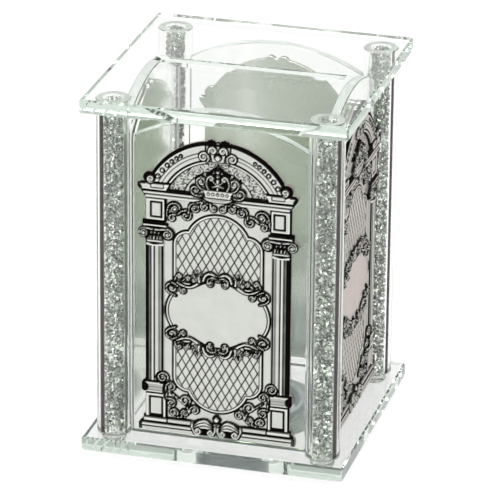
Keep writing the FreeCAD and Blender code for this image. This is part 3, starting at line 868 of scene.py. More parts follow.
class Relief:
    """The plaque's relief as a height and a darkness over its right half, which its left half mirrors; the
    darkness holds patina, painted shade and, below zero, painted highlight.

    A shape is a signed distance to its edge, below zero inside.
    """

    # How far a cut's patina bleeds, how deep the trench round a shape goes and how full a cord's crown is
    bleed: float = 0.05
    trench: float = 0.15
    fullness: float = 1.5
    # How far in and how far down a panel's edge is rounded
    round_in: float = 0.5
    round_down: float = 0.2
    # A scroll's bead as a share of its curl, and its cord's width at both ends
    eye_bead: float = 0.26
    eye_rim: float = 0.1
    taper: Span = (0.6, 0.8)

    def __init__(self, half: float, height: float, pitch: float, plate: float) -> None:
        """Starts with a flat plate.

        Args:
            half: the half width that the field covers.
            height: the height that it covers, from just under the plaque's foot.
            pitch: the distance between its points.
            plate: the thickness of the plate.
        """
        self.pitch = pitch
        across = np.arange(0, half, pitch)
        up = np.arange(-2 * pitch, height, pitch)
        self.x, self.v = np.meshgrid(across, up)
        self.high = np.full_like(self.x, plate)
        self.dark = np.zeros_like(self.x)

    def inside(self, distance: np.ndarray) -> np.ndarray:
        """Share of each point that lies inside a shape, from the signed distance to its edge."""
        return np.clip(0.5 - distance / self.pitch, 0, 1)

    def box(self, x0: float, x1: float, v0: float, v1: float) -> np.ndarray:
        """Draws an upright rectangle.

        Args:
            x0: its left edge.
            x1: its right edge.
            v0: its lower edge.
            v1: its upper edge.

        Returns:
            The signed distance to its edge.
        """
        dx = np.abs(self.x - (x0 + x1) / 2) - (x1 - x0) / 2
        dv = np.abs(self.v - (v0 + v1) / 2) - (v1 - v0) / 2
        return np.hypot(np.maximum(dx, 0), np.maximum(dv, 0)) + np.minimum(np.maximum(dx, dv), 0)

    def disc(self, x: float, v: float, radius: float) -> np.ndarray:
        """Signed distance to a disc."""
        return np.hypot(self.x - x, self.v - v) - radius

    def slope(self, a: Point, b: Point) -> np.ndarray:
        """Draws the half plane on the left of the way from one point to another.

        Args:
            a: the first point.
            b: the second point.

        Returns:
            The signed distance to its edge.
        """
        along = np.array([b[0] - a[0], b[1] - a[1]])
        along = along / np.hypot(*along)
        return (self.x - a[0]) * along[1] - (self.v - a[1]) * along[0]

    def raise_area(self, distance: np.ndarray, level: np.ndarray | float, dark: float = 0.0) -> None:
        """Sets the height and the patina inside a shape.

        Args:
            distance: the shape.
            level: its height.
            dark: its patina.
        """
        share = self.inside(distance)
        self.high = blend(self.high, level, share)
        self.dark = blend(self.dark, dark, share)

    def cut(self, distance: np.ndarray, width: float, depth: float = 0.25, dark: float = BLACK,
            where: np.ndarray | bool = True) -> None:
        """Cuts a dark line along a shape's edge.

        Args:
            distance: the shape.
            width: the width of the line.
            depth: its depth.
            dark: its patina; on a column's outer side, its painted shade.
            where: the points that it may reach.
        """
        share = self.inside(np.abs(distance) - width / 2 - self.bleed) * where
        self.high = self.high - depth * share
        self.dark = np.maximum(self.dark, dark * share)

    def paint_shade(self, distance: np.ndarray, dark: float) -> None:
        """Paints shade: darkens the inside of a shape to at least a given darkness."""
        self.dark = np.maximum(self.dark, dark * self.inside(distance))

    def panel(self, distance: np.ndarray, level: float, rim: float = 0.6) -> None:
        """Raises a shape with a dark cut round it.

        Args:
            distance: the shape.
            level: its height.
            rim: the width of the dark cut.
        """
        self.raise_area(distance - rim, np.minimum(self.high, level) - self.trench, BLACK)
        edge = np.clip(-distance / self.round_in, 0, 1)
        self.raise_area(distance, level - self.round_down * (1 - edge) ** 2)

    def near(self, line: np.ndarray, margin: float) -> tuple[tuple[slice, slice], np.ndarray, np.ndarray]:
        """Finds the part of the field that lies near a line.

        Args:
            line: the points along the line.
            margin: how far out to look.

        Returns:
            The slices of that part, its distance to the line and its share of the way along.
        """
        low, high = line.min(0) - margin, line.max(0) + margin
        cols = slice(int(max(low[0] / self.pitch, 0)), int(max(high[0] / self.pitch, 0)) + 2)
        rows = slice(int(max(low[1] / self.pitch + 2, 0)), int(max(high[1] / self.pitch + 2, 0)) + 2)
        x, v = self.x[rows, cols], self.v[rows, cols]
        best = np.full_like(x, 1e9)
        share = np.zeros_like(x)
        for number, (a, b) in enumerate(zip(line, line[1:])):
            way = b - a
            size = max(way @ way, 1e-9)
            t = np.clip(((x - a[0]) * way[0] + (v - a[1]) * way[1]) / size, 0, 1)
            gap = np.hypot(x - a[0] - t * way[0], v - a[1] - t * way[1])
            closer = gap < best
            best = np.where(closer, gap, best)
            share = np.where(closer, (number + t) / (len(line) - 1), share)
        return (rows, cols), best, share

    def cord(self, line: np.ndarray, half: float, rise: float, level: float, rim: float = 0.55,
             ends: Point = (1.0, 1.0)) -> None:
        """Raises a rounded cord along a line, with a dark cut round it.

        Args:
            line: the points along the line.
            half: half the cord's width.
            rise: how far it rises above the level.
            level: the level that it stands on.
            rim: the width of the dark cut.
            ends: the share of the width at the line's start and end.
        """
        place, gap, along = self.near(line, half + rim + 0.6)
        wide = half * (ends[0] + (ends[1] - ends[0]) * along)
        share = self.inside(gap - wide - rim)
        self.high[place] = blend(self.high[place], level - self.trench, share)
        self.dark[place] = blend(self.dark[place], BLACK, share)
        share = self.inside(gap - wide)
        round_top = np.sqrt(np.clip(1 - (gap / np.maximum(wide, 1e-6)) ** 2, 0, 1))
        self.high[place] = blend(self.high[place], level + self.fullness * rise * round_top, share)
        self.dark[place] = blend(self.dark[place], 0.0, share)

    def scroll(self, scroll: Scroll, level: float, flip: Point = (1.0, 0.0)) -> None:
        """Raises one scroll with a bead at its eye.

        Args:
            scroll: the scroll.
            level: the level that it stands on.
            flip: the sign and the offset that its heights take.
        """
        turn, move = np.array((1.0, flip[0])), np.array((0.0, flip[1]))
        self.cord(scroll.line() * turn + move, scroll.weight, scroll.rise, level, ends=self.taper)
        eye = tuple(np.array(scroll.eye) * turn + move)
        self.bead(eye, self.eye_bead * scroll.radius, scroll.rise, level, self.eye_rim)

    def bead(self, spot: Point, radius: float, rise: float, level: float, rim: float = 0.55) -> None:
        """Raises one round bead with a dark cut round it."""
        self.cord(np.array([spot, (spot[0], spot[1] + 1e-3)]), radius, rise, level, rim)


@dataclass
class Plaques:
    """Four cast relief plaques: an arch on two columns, lattice windows, a bare cartouche and scrollwork."""

    # Place of the back, thickness of the plate, height of its foot over the floor, and the mesh's pitch
    back: float = 40.05
    plate: float = 1.2
    foot: float = 10.7
    pitch: float = 0.258
    # Heights are from the plate's foot: the cartouche's middle, and the arch's centre
    middle: float = 48.6
    arch_centre: float = 87.5
    arch_radius: float = 29.1
    seed: int = 3
    # Half width and height of the field that the relief is drawn on, and the highest that it rises
    extent: Point = (31.6, 119.0)
    relief_top: float = 2.9
    # Share of a wall that is dark, the darkest that a plain slope gets from patina and painted shade, and how
    # far a rub brightens as a painted highlight
    wall_patina: float = 0.25
    slope_patina_and_shade: float = 0.95
    rubbed_highlight: float = 0.6
    # Heights over the plate, and how far a panel is sunk
    window_rise: float = 0.25
    cartouche_rise: float = 0.3
    scroll_rise: float = 0.2
    body_rise: float = 1.1
    cap_rise: float = 1.5
    cornice_rise: float = 1.7
    crown_rise: float = 1.0
    shell_rise: float = 1.2
    sink: float = 0.3
    # A window, with heights from the cartouche's middle
    window_half: float = 17.1
    window_sill: float = 9.0
    window_reach: float = 26.4
    shoulder_axis: float = 11.3
    shoulder_radius: float = 5.8
    lobe_centre: float = 27.0
    lobe_radius: float = 12.5
    # Width and height of the lattice's diamonds, and the width of its lines
    lattice: Point = (3.04, 5.4)
    lattice_line: float = 0.46
    # The column's shaft, and the place across, width and darkness of each of its flutes; the wide cuts by its
    # outer edge are painted shade of the round shaft's side
    shaft_box: tuple[float, float, float, float] = (20.3, 27.5, 19.5, 76.0)
    shaft_axis: float = 23.9
    shaft_radius: float = 3.8
    shaft_rise: float = 1.5
    shaft_patina: float = 0.04
    flute_top: float = 73.8
    flutes_and_side_shade: tuple[tuple[float, float, float], ...] = (
        (26.7, 1.8, 1.0), (25.4, 0.7, 0.85), (25.0, 0.2, 1.0), (23.8, 0.55, 1.0), (21.9, 0.9, 0.7),
        (20.9, 0.75, 1.0),
    )
    # Radius of the stippled field, and the radius, width, patina and foot of each ring of the arch
    field_radius: float = 20.9
    arch_rings: tuple[tuple[float, float, float, float], ...] = (
        (20.9, 0.55, 1.0, 96.1), (22.1, 0.75, 1.0, 98.5), (23.9, 0.4, 0.75, 98.5), (25.2, 0.45, 0.85, 98.5),
    )
    # Radius of the arch's row of beads, and the turn in degrees and the radius of each bead
    bead_row: float = 26.4
    arch_beads: tuple[Point, ...] = (
        (31.4, 0.62), (37.8, 0.58), (44.0, 0.54), (49.2, 0.48), (54.0, 0.42), (58.2, 0.36),
    )
    # Height and width of each groove of the plinth and the cornice
    plinth_grooves: tuple[Point, ...] = ((2.95, 0.75), (1.4, 0.45))
    cornice_grooves: tuple[Point, ...] = ((92.75, 0.45), (94.15, 0.5), (95.6, 0.9), (98.6, 0.6))
    # Half heights of the cartouche's upper and lower edges, across from the middle
    brow_places: tuple[float, ...] = (0.0, 2.5, 5.0, 7.5, 11.0, 14.5, 20.0)
    brow_heights: tuple[float, ...] = (13.2, 13.2, 12.2, 11.0, 9.9, 10.6, 11.0)
    # Scrolls of the crown and of the shell on the plinth
    crown_scrolls: tuple[Scroll, ...] = (
        Scroll((8.3, 97.5), 2.0, 1, ((5.4, 95.4), (7.0, 95.3)), 1.1),
        Scroll((6.1, 101.0), 1.8, 1, ((5.0, 97.6), (6.8, 98.6), (7.8, 100.2)), 1.15, 0.5),
        Scroll((2.5, 102.4), 1.15, 1, ((3.4, 97.9), (4.3, 100.2), (3.9, 102.2)), 0.9, 0.52),
    )
    shell_scrolls: tuple[Scroll, ...] = (
        Scroll((7.2, 1.7), 1.5, -1, ((9.2, 4.6), (9.3, 3.0)), 1.2, 0.5),
        Scroll((2.2, 1.5), 1.3, 1, ((0.5, 3.6), (0.5, 2.2)), 1.2, 0.5),
    )
    # Scrolls of the frieze and the foot, drawn on the right half
    scrolls: tuple[Scroll, ...] = (
        Scroll((16.3, 88.8), 2.7, 1, ((18.9, 84.6), (19.3, 87.0)), 1.3),
        Scroll((17.2, 85.2), 1.5, -1, ((13.6, 88.6), (14.9, 86.9)), 1.0),
        Scroll((12.0, 86.7), 2.1, 1, ((15.2, 86.9), (13.9, 88.2)), 1.25),
        Scroll((8.8, 90.0), 2.1, 1, ((11.2, 87.6), (11.0, 89.0)), 1.3),
        Scroll((5.1, 91.0), 1.5, -1, ((8.2, 92.2), (6.6, 92.6), (5.8, 92.6)), 1.2),
        Scroll((1.7, 90.6), 1.25, -1, ((4.4, 92.4), (3.0, 92.4)), 1.2),
        Scroll((20.9, 21.4), 2.1, -1, ((17.9, 19.6), (18.7, 20.6)), 1.3),
        Scroll((17.6, 17.9), 1.9, 1, ((19.6, 14.8), (19.7, 16.8)), 1.25),
        Scroll((17.6, 11.4), 1.8, 1, ((19.3, 15.2), (19.4, 13.2)), 1.25),
        Scroll((16.6, 7.6), 1.7, -1, ((12.4, 6.2), (14.2, 5.9), (15.4, 6.4)), 1.2),
        Scroll((12.2, 7.9), 1.5, 1, ((15.2, 5.9), (13.4, 6.3)), 1.2),
        Scroll((12.3, 13.0), 2.0, -1, ((17.4, 15.4), (10.4, 10.2), (10.5, 11.8)), 1.25),
        Scroll((8.5, 9.5), 1.8, 1, ((11.6, 10.8), (10.6, 8.3)), 1.25),
    )
    # Scrolls round the cartouche, with heights from its middle, drawn above and below
    leafwork: tuple[Scroll, ...] = (
        Scroll((2.7, 12.4), 1.2, -1, ((0.7, 14.5), (2.2, 14.9), (3.7, 14.0)), 1.2, 0.4),
        Scroll((11.2, 13.4), 1.0, 1, ((13.6, 12.2), (12.8, 12.9)), 1.2, 0.36),
        Scroll((14.6, 14.0), 1.0, 1, ((16.2, 12.4), (16.0, 13.2)), 1.2, 0.36),
        Scroll((17.3, 9.2), 2.3, 1, ((15.9, 6.2), (18.4, 7.2)), 1.1, 0.5),
        Scroll((13.0, 8.6), 1.15, -1, ((17.6, 11.4), (15.8, 10.6), (14.6, 9.7)), 1.2, 0.4),
    )

    def silhouette(self, r: Relief) -> np.ndarray:
        """Draws the plaque's outline.

        Args:
            r: the relief that it bounds.

        Returns:
            The signed distance to the outline.
        """
        shapes = [
            r.box(-30, 29.9, 0, 2.6),
            np.maximum(r.box(-30, 29.9, 0, 4.2), r.slope((29.9, 2.6), (28.2, 4.2))),
            r.box(-30, 28.3, 0, 5.6),
            r.box(-30, 27.5, 0, 100),
            r.box(-30, 27.3, 16.7, 18.6) - 1.4,
            r.disc(28.0, 78.9, 2.3),
            r.box(-30, 28.2, 80.8, 83.2) - 0.5,
            np.maximum(r.box(-30, 30.1, 90.0, 98.4), r.slope((27.4, 93.3), (30.2, 97.2))),
            np.maximum(r.disc(0, self.arch_centre, self.arch_radius), 97 - r.v),
            r.disc(25.7, 100.4, 2.4),
            np.maximum(r.disc(2.5, 115.2, 2.2), r.v - 117.5),
        ]
        return np.minimum.reduce(shapes)

    def windows(self, r: Relief) -> None:
        """Sinks the two lattice windows and draws their frames.

        Args:
            r: the relief to draw on.
        """
        rise = np.abs(r.v - self.middle)
        lobe = np.hypot(r.x, rise - self.lobe_centre) - self.lobe_radius
        body = np.maximum(r.x - self.window_half, rise - self.window_reach)
        over_x, over_v = r.x - self.shoulder_axis, rise - self.window_reach
        shoulder = np.hypot(np.maximum(over_x, 0), np.maximum(over_v, 0)) - self.shoulder_radius
        shape = np.minimum(np.minimum(body, shoulder), lobe)
        shape = np.maximum(shape, self.window_sill - rise)
        r.raise_area(shape, self.plate + self.window_rise)
        r.cut(shape, 0.75)
        r.cut(shape + 1.2, 0.42)
        across, tall = self.lattice
        lean = math.hypot(1 / across, 1 / tall)
        one = np.abs((r.x / across + r.v / tall) % 1 - 0.5)
        two = np.abs((r.x / across - r.v / tall) % 1 - 0.5)
        line = (0.5 - np.maximum(one, two)) / lean
        field = r.inside(shape + 1.35)
        r.high = blend(r.high, self.plate - 0.25 + 0.22 * np.clip(line / 0.8, 0, 1), field)
        r.dark = np.maximum(blend(r.dark, 0.0, field), r.inside(line - self.lattice_line / 2) * field)

    def cartouche(self, r: Relief) -> None:
        """Raises the bare oval between the windows and the leafwork on its edges.

        Args:
            r: the relief to draw on.
        """
        level = self.plate + self.cartouche_rise
        rise = np.abs(r.v - self.middle)
        bow = np.hypot(r.x - 8.3, rise) - 11.6
        edge = np.interp(r.x, self.brow_places, self.brow_heights)
        shape = np.maximum(np.minimum(bow, np.maximum(r.x - 15.5, rise - 20)), rise - edge)
        r.raise_area(shape, level)
        r.cut(shape, 0.75)
        r.cut(shape + 1.1, 0.42, where=rise < 8.4)
        wave = ((15.2, 11.4), (12.6, 10.4), (10.4, 10.3), (8.0, 11.5), (6.0, 13.6), (4.8, 15.0))
        under = ((14.8, 12.6), (12.4, 11.6), (10.6, 11.5))
        hood = ((0.45, 13.7), (1.2, 15.6), (2.9, 16.4), (4.6, 15.4), (5.4, 13.4))
        root = (6.8, 12.9)
        for sign in (1, -1):
            turn, move = np.array((1.0, sign)), np.array((0.0, self.middle))
            r.cord(curve(wave) * turn + move, 0.5, 0.5, level)
            r.cord(curve(under) * turn + move, 0.4, 0.5, level)
            for tip in ((10.6, 14.6), (9.4, 16.0), (7.8, 16.9), (6.2, 16.6)):
                waist = ((root[0] + tip[0]) / 2 + 0.5, (root[1] + tip[1]) / 2 - 0.2)
                r.cord(curve((root, waist, tip)) * turn + move, 0.62, 0.6, level, 0.26, (1.0, 0.35))
            r.cord(curve(hood) * turn + move, 0.5, 0.6, level)
            for scroll in self.leafwork:
                r.scroll(scroll, level, (sign, self.middle))

    def shaft(self, r: Relief) -> None:
        """Raises the round shaft of each column and cuts its flutes, with painted shade down its outer side.

        Args:
            r: the relief to draw on.
        """
        shape = r.box(*self.shaft_box)
        round_top = np.sqrt(np.clip(1 - ((r.x - self.shaft_axis) / self.shaft_radius) ** 2, 0, 1))
        r.raise_area(shape, self.plate + self.shaft_rise * round_top, self.shaft_patina)
        fluted = (shape < 0) & (r.v < self.flute_top)
        # The wide outer cuts paint the shade of the shaft's round side; the rest are flutes
        for spot, wide, dark in self.flutes_and_side_shade:
            r.cut(r.x - spot, wide, 0.2, dark, where=fluted)

    def capital(self, r: Relief) -> None:
        """Raises each column's capital: a collar, upright leaves, beads, a bar, two curls and a slab.

        Args:
            r: the relief to draw on.
        """
        ground, mid, top = self.plate + 0.6, self.plate + self.body_rise, self.plate + self.cap_rise
        r.raise_area(r.box(20.4, 27.3, 74.7, 81.2), ground, BLACK)
        collar = r.box(20.9, 26.8, 75.2, 75.8)
        r.panel(collar, mid, 0.3)
        for spot in (21.6, 22.8, 24.0, 25.2, 26.3):
            leaf = curve(((spot, 76.5), (spot, 77.4)))
            r.cord(leaf, 0.38, 0.6, ground, 0.22)
        for spot in (22.2, 23.7, 25.2):
            r.bead((spot, 78.9), 0.42, 0.6, ground, 0.3)
        bar = r.box(19.4, 28.0, 80.0, 80.4) - 0.15
        r.panel(bar, mid, 0.4)
        for eye, hand, arm in ((28.0, -1, 26.6), (18.9, 1, 20.4)):
            r.raise_area(r.disc(eye, 78.8, 2.75), mid - self.sink, BLACK)
            r.scroll(Scroll((eye, 78.8), 1.95, hand, ((23.7, 80.2), (arm, 80.5)), 1.7, 0.36), mid)
        r.raise_area(r.box(18.9, 28.7, 80.8, 81.3), mid, BLACK)
        slab = r.box(19.4, 28.2, 81.6, 82.3) - 0.15
        r.panel(slab, top, 0.5)
        r.raise_area(r.box(19.6, 28.2, 82.7, 83.3), mid, BLACK)

    def pedestal(self, r: Relief) -> None:
        """Raises each column's pedestal, with a sunk panel and a rounded cap.

        Args:
            r: the relief to draw on.
        """
        mid, top = self.plate + self.body_rise, self.plate + self.cap_rise
        body = r.box(19.5, 27.3, 5.3, 15.0)
        r.panel(body, mid, 0.6)
        r.cut(r.box(20.9, 25.6, 6.0, 13.4), 0.8)
        r.cut(r.box(20.9, 25.6, 5.7, 6.2), 0.9)
        r.raise_area(r.box(21.6, 24.9, 7.0, 12.8), mid - self.sink)
        cap = r.box(20.4, 27.0, 16.3, 18.4) - 1.1
        r.panel(cap, top, 0.6)
        # A grey tone on the cap: painted shade of its moulding
        r.paint_shade(r.box(20.4, 26.8, 15.7, 18.8), 0.4)
        r.raise_area(r.disc(28.0, 17.3, 2.0), mid, BLACK)
        for level in (16.3, 17.5):
            r.cut(r.v - level, 0.22, 0.1, 0.75, where=r.box(20.3, 26.4, 15.4, 19.2) < 0)
        r.raise_area(r.box(20.0, 28.0, 19.2, 20.2), mid, BLACK)

    def block(self, r: Relief) -> None:
        """Raises the block over each capital, with a sunk panel.

        Args:
            r: the relief to draw on.
        """
        mid = self.plate + self.body_rise
        r.panel(r.box(20.0, 27.2, 83.9, 92.4), mid, 0.65)
        r.cut(r.box(21.2, 25.2, 85.3, 91.0), 0.8)
        r.raise_area(r.box(21.9, 24.5, 86.0, 90.4), mid - self.sink)

    def courses(self, r: Relief) -> None:
        """Raises the plinth and the cornice.

        Args:
            r: the relief to draw on.
        """
        mid, top = self.plate + self.body_rise, self.plate + self.cornice_rise
        step = r.box(0, 28.3, 3.3, 4.9)
        r.panel(step, mid)
        # A grey tone on the step: painted shade
        r.paint_shade(r.box(0, 18.6, 3.4, 4.9), 0.25)
        plinth = r.box(0, 29.9, -1, 3.1)
        r.raise_area(plinth, mid + 0.2)
        for level, wide in self.plinth_grooves:
            r.cut(r.v - level, wide, where=r.x < 28.4)
        plinth_end = r.box(28.5, 30.2, -1, 3.1)
        r.raise_area(plinth_end, mid, 0.9)
        r.cut(r.x - 19.0, 0.5, where=(r.v > 2.8) & (r.v < 5))
        cornice = np.maximum(r.box(0, 30.2, 92.7, 98.4), r.slope((27.3, 92.7), (30.2, 97.2)))
        r.raise_area(cornice, top)
        for level, wide in self.cornice_grooves:
            r.cut(r.v - level, wide, where=r.x < 29.2)
        cornice_end = np.maximum(r.box(28.3, 30.4, 95.9, 98.6), -r.slope((27.6, 95.9), (29.4, 98.6)))
        r.raise_area(cornice_end, top, 0.95)

    def arch(self, r: Relief) -> None:
        """Raises the arch with its stippled field, its rings, its beads and the curl at each end.

        Args:
            r: the relief to draw on.
        """
        mid = self.plate + self.body_rise
        away = np.hypot(r.x, r.v - self.arch_centre)
        field = np.maximum(away - self.field_radius, 96.1 - r.v)
        band = np.maximum(np.maximum(away - self.arch_radius, self.field_radius - away), 98.8 - r.v)
        r.raise_area(band, mid)
        draw = np.random.default_rng(self.seed)
        rows, cols = r.x.shape
        speck = np.kron(draw.random((rows // 2 + 1, cols // 2 + 1)), np.ones((2, 2)))[:rows, :cols]
        r.raise_area(field, self.plate + 0.1)
        inner = np.hypot(r.x, r.v - 91.5) - 13.6
        share = r.inside(np.maximum(field, -inner))
        r.dark = np.maximum(r.dark, share * np.clip((speck - 0.3) * 1.5, 0, 1))
        r.high = r.high - 0.12 * share * speck
        r.cut(inner, 0.4, where=r.v > 96.2)
        for reach, wide, dark, foot in self.arch_rings:
            r.cut(away - reach, wide, 0.2, dark, where=r.v > foot)
        r.cut(away - self.arch_radius + 0.6, 1.4, 0.3, where=r.v > 98.5)
        for turn, size in self.arch_beads:
            across = self.bead_row * math.cos(math.radians(turn))
            up = self.arch_centre + self.bead_row * math.sin(math.radians(turn))
            r.bead((across, up), size, 0.5, mid)
        foot_block = r.box(20.5, 25.0, 96.9, 98.0)
        r.panel(foot_block, mid + 0.3, 0.4)
        r.raise_area(r.disc(25.8, 100.6, 2.6), mid, BLACK)
        r.scroll(Scroll((25.2, 100.0), 1.25, 1, ((24.6, 98.7), (25.4, 98.7)), 1.1, 0.5), mid)

    def crest(self, r: Relief) -> None:
        """Raises the crest on the crown of the arch.

        Args:
            r: the relief to draw on.
        """
        mid = self.plate + self.body_rise
        r.raise_area(r.box(-5, 4.6, 108.4, 116.2), mid)
        r.cut(r.x - 4.7, 0.6, where=(r.v > 108.8) & (r.v < 116))
        cap = np.minimum(r.disc(2.5, 115.4, 2.2), r.box(-5, 5.4, 115.0, 116.1))
        r.raise_area(np.maximum(cap, 114.9 - r.v), mid + 0.2, BLACK)
        r.scroll(Scroll((1.9, 113.3), 1.4, 1, ((3.0, 109.4), (3.5, 111.8), (3.3, 113.2)), 1.0, 0.6), mid)
        r.scroll(Scroll((5.4, 110.6), 1.8, -1, ((3.9, 108.8), (3.5, 110.0)), 1.25, 0.52), mid)
        r.raise_area(r.disc(0, 110.9, 1.7), mid, BLACK)
        r.bead((0, 110.6), 1.0, 0.6, mid, 0.2)
        foot = r.box(0, 3.5, 108.1, 108.6)
        r.panel(foot, mid + 0.2, 0.45)

    def crown(self, r: Relief) -> None:
        """Raises the crown over the frieze.

        Args:
            r: the relief to draw on.
        """
        mid = self.plate + self.crown_rise
        peak = np.maximum(np.maximum(r.slope((5.6, 103.0), (-0.4, 107.9)), 101 - r.v), r.x - 4.6)
        dome = np.maximum(np.hypot(r.x / 1.1, r.v - 100.2) - 4.9, 96.8 - r.v)
        r.raise_area(np.minimum(dome, peak), mid, BLACK)
        for scroll in self.crown_scrolls:
            r.scroll(scroll, mid)
        spine = curve(((0, 98.0), (0, 102.0)))
        r.cord(spine, 0.55, 0.6, mid, 0.3, (0.7, 1.0))
        for tip in ((1.7, 101.3), (1.9, 99.2)):
            r.cord(curve(((0.2, 100.0), tip)), 0.42, 0.5, mid, 0.2, (1.0, 0.5))
        for spot, size in (((0, 103.4), 0.55), ((0, 105.1), 0.6), ((1.5, 104.8), 0.4), ((0, 106.7), 0.35)):
            r.bead(spot, size, 0.5, mid, 0.3)
        lens = np.hypot(r.x / 5.0, (r.v - 94.7) / 1.5) * 1.5 - 1.5
        r.panel(lens, mid + 0.1, 0.5)
        # A grey tone on the crown's lens: painted shade of its round moulding
        r.paint_shade(lens + 0.3, 0.35)
        band = np.maximum(r.box(0, 6, 95.0, 97.6), r.slope((4.6, 95.0), (5.5, 97.6)))
        r.panel(band, mid + 0.3, 0.45)
        for spot in (0.0, 1.8, 3.5):
            r.bead((spot, 96.5), 0.36, 0.4, mid + 0.3, 0.34)

    def foot_shell(self, r: Relief) -> None:
        """Raises the double shell on the plinth, its curls and the bead over it.

        Args:
            r: the relief to draw on.
        """
        level = self.plate + self.shell_rise
        mound = np.hypot((r.x - 5.1) / 4.6, (r.v - 3.2) / 3.2) * 3.6 - 3.6
        r.raise_area(mound, level, BLACK)
        for push in (0.0, 1.15, 2.3):
            rib = ((1.4 + push * 0.3, 1.6 + push * 0.5), (3.4, 5.7 - push), (6.2, 5.5 - push),
                   (8.4, 3.6 - push * 0.7))
            r.cord(curve(rib), 0.42, 0.5, level, 0.3)
        for scroll in self.shell_scrolls:
            r.scroll(scroll, level)
        r.bead((0, 6.9), 0.85, 0.5, level, 0.8)

    def build_relief(self) -> tuple[Relief, np.ndarray]:
        """Draws the whole relief.

        Returns:
            The relief and the signed distance to its outline.
        """
        r = Relief(*self.extent, self.pitch, self.plate)
        outline = self.silhouette(r)
        for draw in (self.windows, self.cartouche, self.shaft, self.capital, self.pedestal, self.block,
                     self.courses, self.arch, self.crest):
            draw(r)
        for scroll in self.scrolls:
            r.scroll(scroll, self.plate + self.scroll_rise)
        self.crown(r)
        self.foot_shell(r)
        # A dark band just inside the outline: patina along the edge and painted shade of the side wall
        r.dark = np.maximum(r.dark, r.inside(-0.45 - outline) * (r.v > 2))
        r.high = np.minimum(r.high, self.relief_top)
        rise, run = np.gradient(r.high, self.pitch)
        crest = -np.gradient(rise, self.pitch, axis=0) - np.gradient(run, self.pitch, axis=1)
        steep = np.hypot(rise, run)
        # Hands rub the crests that aren't steep, which also get a painted highlight, and steep sides keep
        # their patina with painted shade.
        rub_highlight = np.clip((crest - 0.8) / 2.0, 0, 1) * np.clip(1.7 - steep, 0, 1)
        slope = np.clip((steep - 0.7) / 1.1, 0, self.slope_patina_and_shade)
        plain = r.dark < 0.3
        r.dark = np.maximum(r.dark, slope) - self.rubbed_highlight * rub_highlight * plain
        return r, outline

    def mesh(self, name: str, r: Relief, outline: np.ndarray) -> Piece:
        """Turns the relief into a closed mesh that faces the front.

        Args:
            name: the piece's name.
            r: the relief.
            outline: the signed distance to its outline.

        Returns:
            The piece.
        """
        def whole(field: np.ndarray, sign: int = 1) -> np.ndarray:
            """Mirrors a right half to the full width."""
            return np.hstack([sign * field[:, :0:-1], field])

        x, v, edge = whole(r.x, -1), whole(r.v), whole(outline)
        high, dark = whole(r.high), whole(r.dark)
        down, over = np.gradient(edge, self.pitch)
        kept = edge <= 0
        cells = kept[:-1, :-1] | kept[1:, :-1] | kept[:-1, 1:] | kept[1:, 1:]
        push = np.where(edge > 0, edge, 0) / np.maximum(down ** 2 + over ** 2, 0.25)
        x, v = x - push * over, v - push * down
        used = np.zeros_like(kept)
        for rows in (slice(None, -1), slice(1, None)):
            for cols in (slice(None, -1), slice(1, None)):
                used[rows, cols] |= cells
        number = np.full(kept.shape, -1)
        number[used] = np.arange(used.sum())
        i, j = np.nonzero(cells)
        quads = np.stack([number[i, j], number[i, j + 1], number[i + 1, j + 1], number[i + 1, j]], 1)
        top = np.stack([x[used], -self.back - high[used], self.foot + v[used]], 1)
        ways = np.vstack([quads[:, [k, (k + 1) % 4]] for k in range(4)])
        there = {(a, b) for a, b in ways.tolist()}
        after = {a: b for a, b in there if (b, a) not in there}
        loop = [next(iter(after))]
        while after[loop[-1]] != loop[0]:
            loop.append(after[loop[-1]])
        base, count = len(top), len(loop)
        rear = top[loop].copy()
        rear[:, 1] = -self.back
        # The edge's dark, patina with painted shade, ends a little way down the walls, which are bare from
        # there to the pane.
        waist = blend(top[loop], rear, self.wall_patina)
        rings = [loop, range(base, base + count), range(base + count, base + 2 * count)]
        walls = [(upper[k], lower[k], lower[(k + 1) % count], upper[(k + 1) % count])
                 for upper, lower in zip(rings, rings[1:]) for k in range(count)]
        piece = mesh_piece(name, np.vstack([top, waist, rear]).tolist(),
                           quads.tolist() + walls + [tuple(reversed(rings[-1]))])
        tone = piece.data.attributes.new("patina", "FLOAT", "POINT")
        tone.data.foreach_set("value", np.concatenate([dark[used], np.zeros(2 * count)]).astype(np.float32))
        return piece

    def build(self) -> None:
        """Builds the four plaques."""
        relief, outline = self.build_relief()
        for side in Side:
            name = side.name.lower()
            piece = self.mesh(f"relief_plaque_{name}", relief, outline)
            piece.data.transform(Matrix.Rotation(math.radians(side.value), 4, "Z"))
            piece.data.materials.append(SILVER.material())
            piece.data.materials.append(CAST_BACK.material())
            last = len(piece.data.polygons) - 1
            for face in piece.data.polygons:
                face.use_smooth = face.index != last
                face.material_index = int(face.index == last)
            dress(piece, None, "antique_silver", "box", f"plaque_{name}")


@dataclass
class Stopper:
    """The soft grey stopper in the base: a flange under the plate and a hollow spigot through it."""

    flange: float = 60.0
    flange_thick: float = 1.5
    spigot: float = 45.4
    wall: float = 2.2
    rise: float = 1.5
    edge_cut: float = 0.5
    rim_cut: float = 0.3
    lead_in: float = 0.7
    fillet: float = 0.6
    steps: int = 128

    def build(self) -> None:
        """Builds the stopper."""
        top = LEVELS.foot - LEVELS.seam
        low = LEVELS.foot - self.flange_thick
        tip = LEVELS.base_top + self.rise
        out, edge, inner = self.spigot / 2, self.flange / 2, self.spigot / 2 - self.wall
        cut, rim, fillet = self.edge_cut, self.rim_cut, self.fillet
        profile = [(0, low), (edge - cut, low), (edge, low + cut), (edge, top - rim), (edge - rim, top),
                   (out, top), (out, tip - self.lead_in), (out - cut, tip), (inner + cut, tip),
                   (inner, tip - cut), (inner, top + fillet), (inner - fillet, top), (0, top)]
        piece = lathe("stopper_plug", profile, (0, 0), self.steps)
        smooth(piece)
        dress(piece, STOPPER, "stopper_plastic", "stopper", "base_stopper")


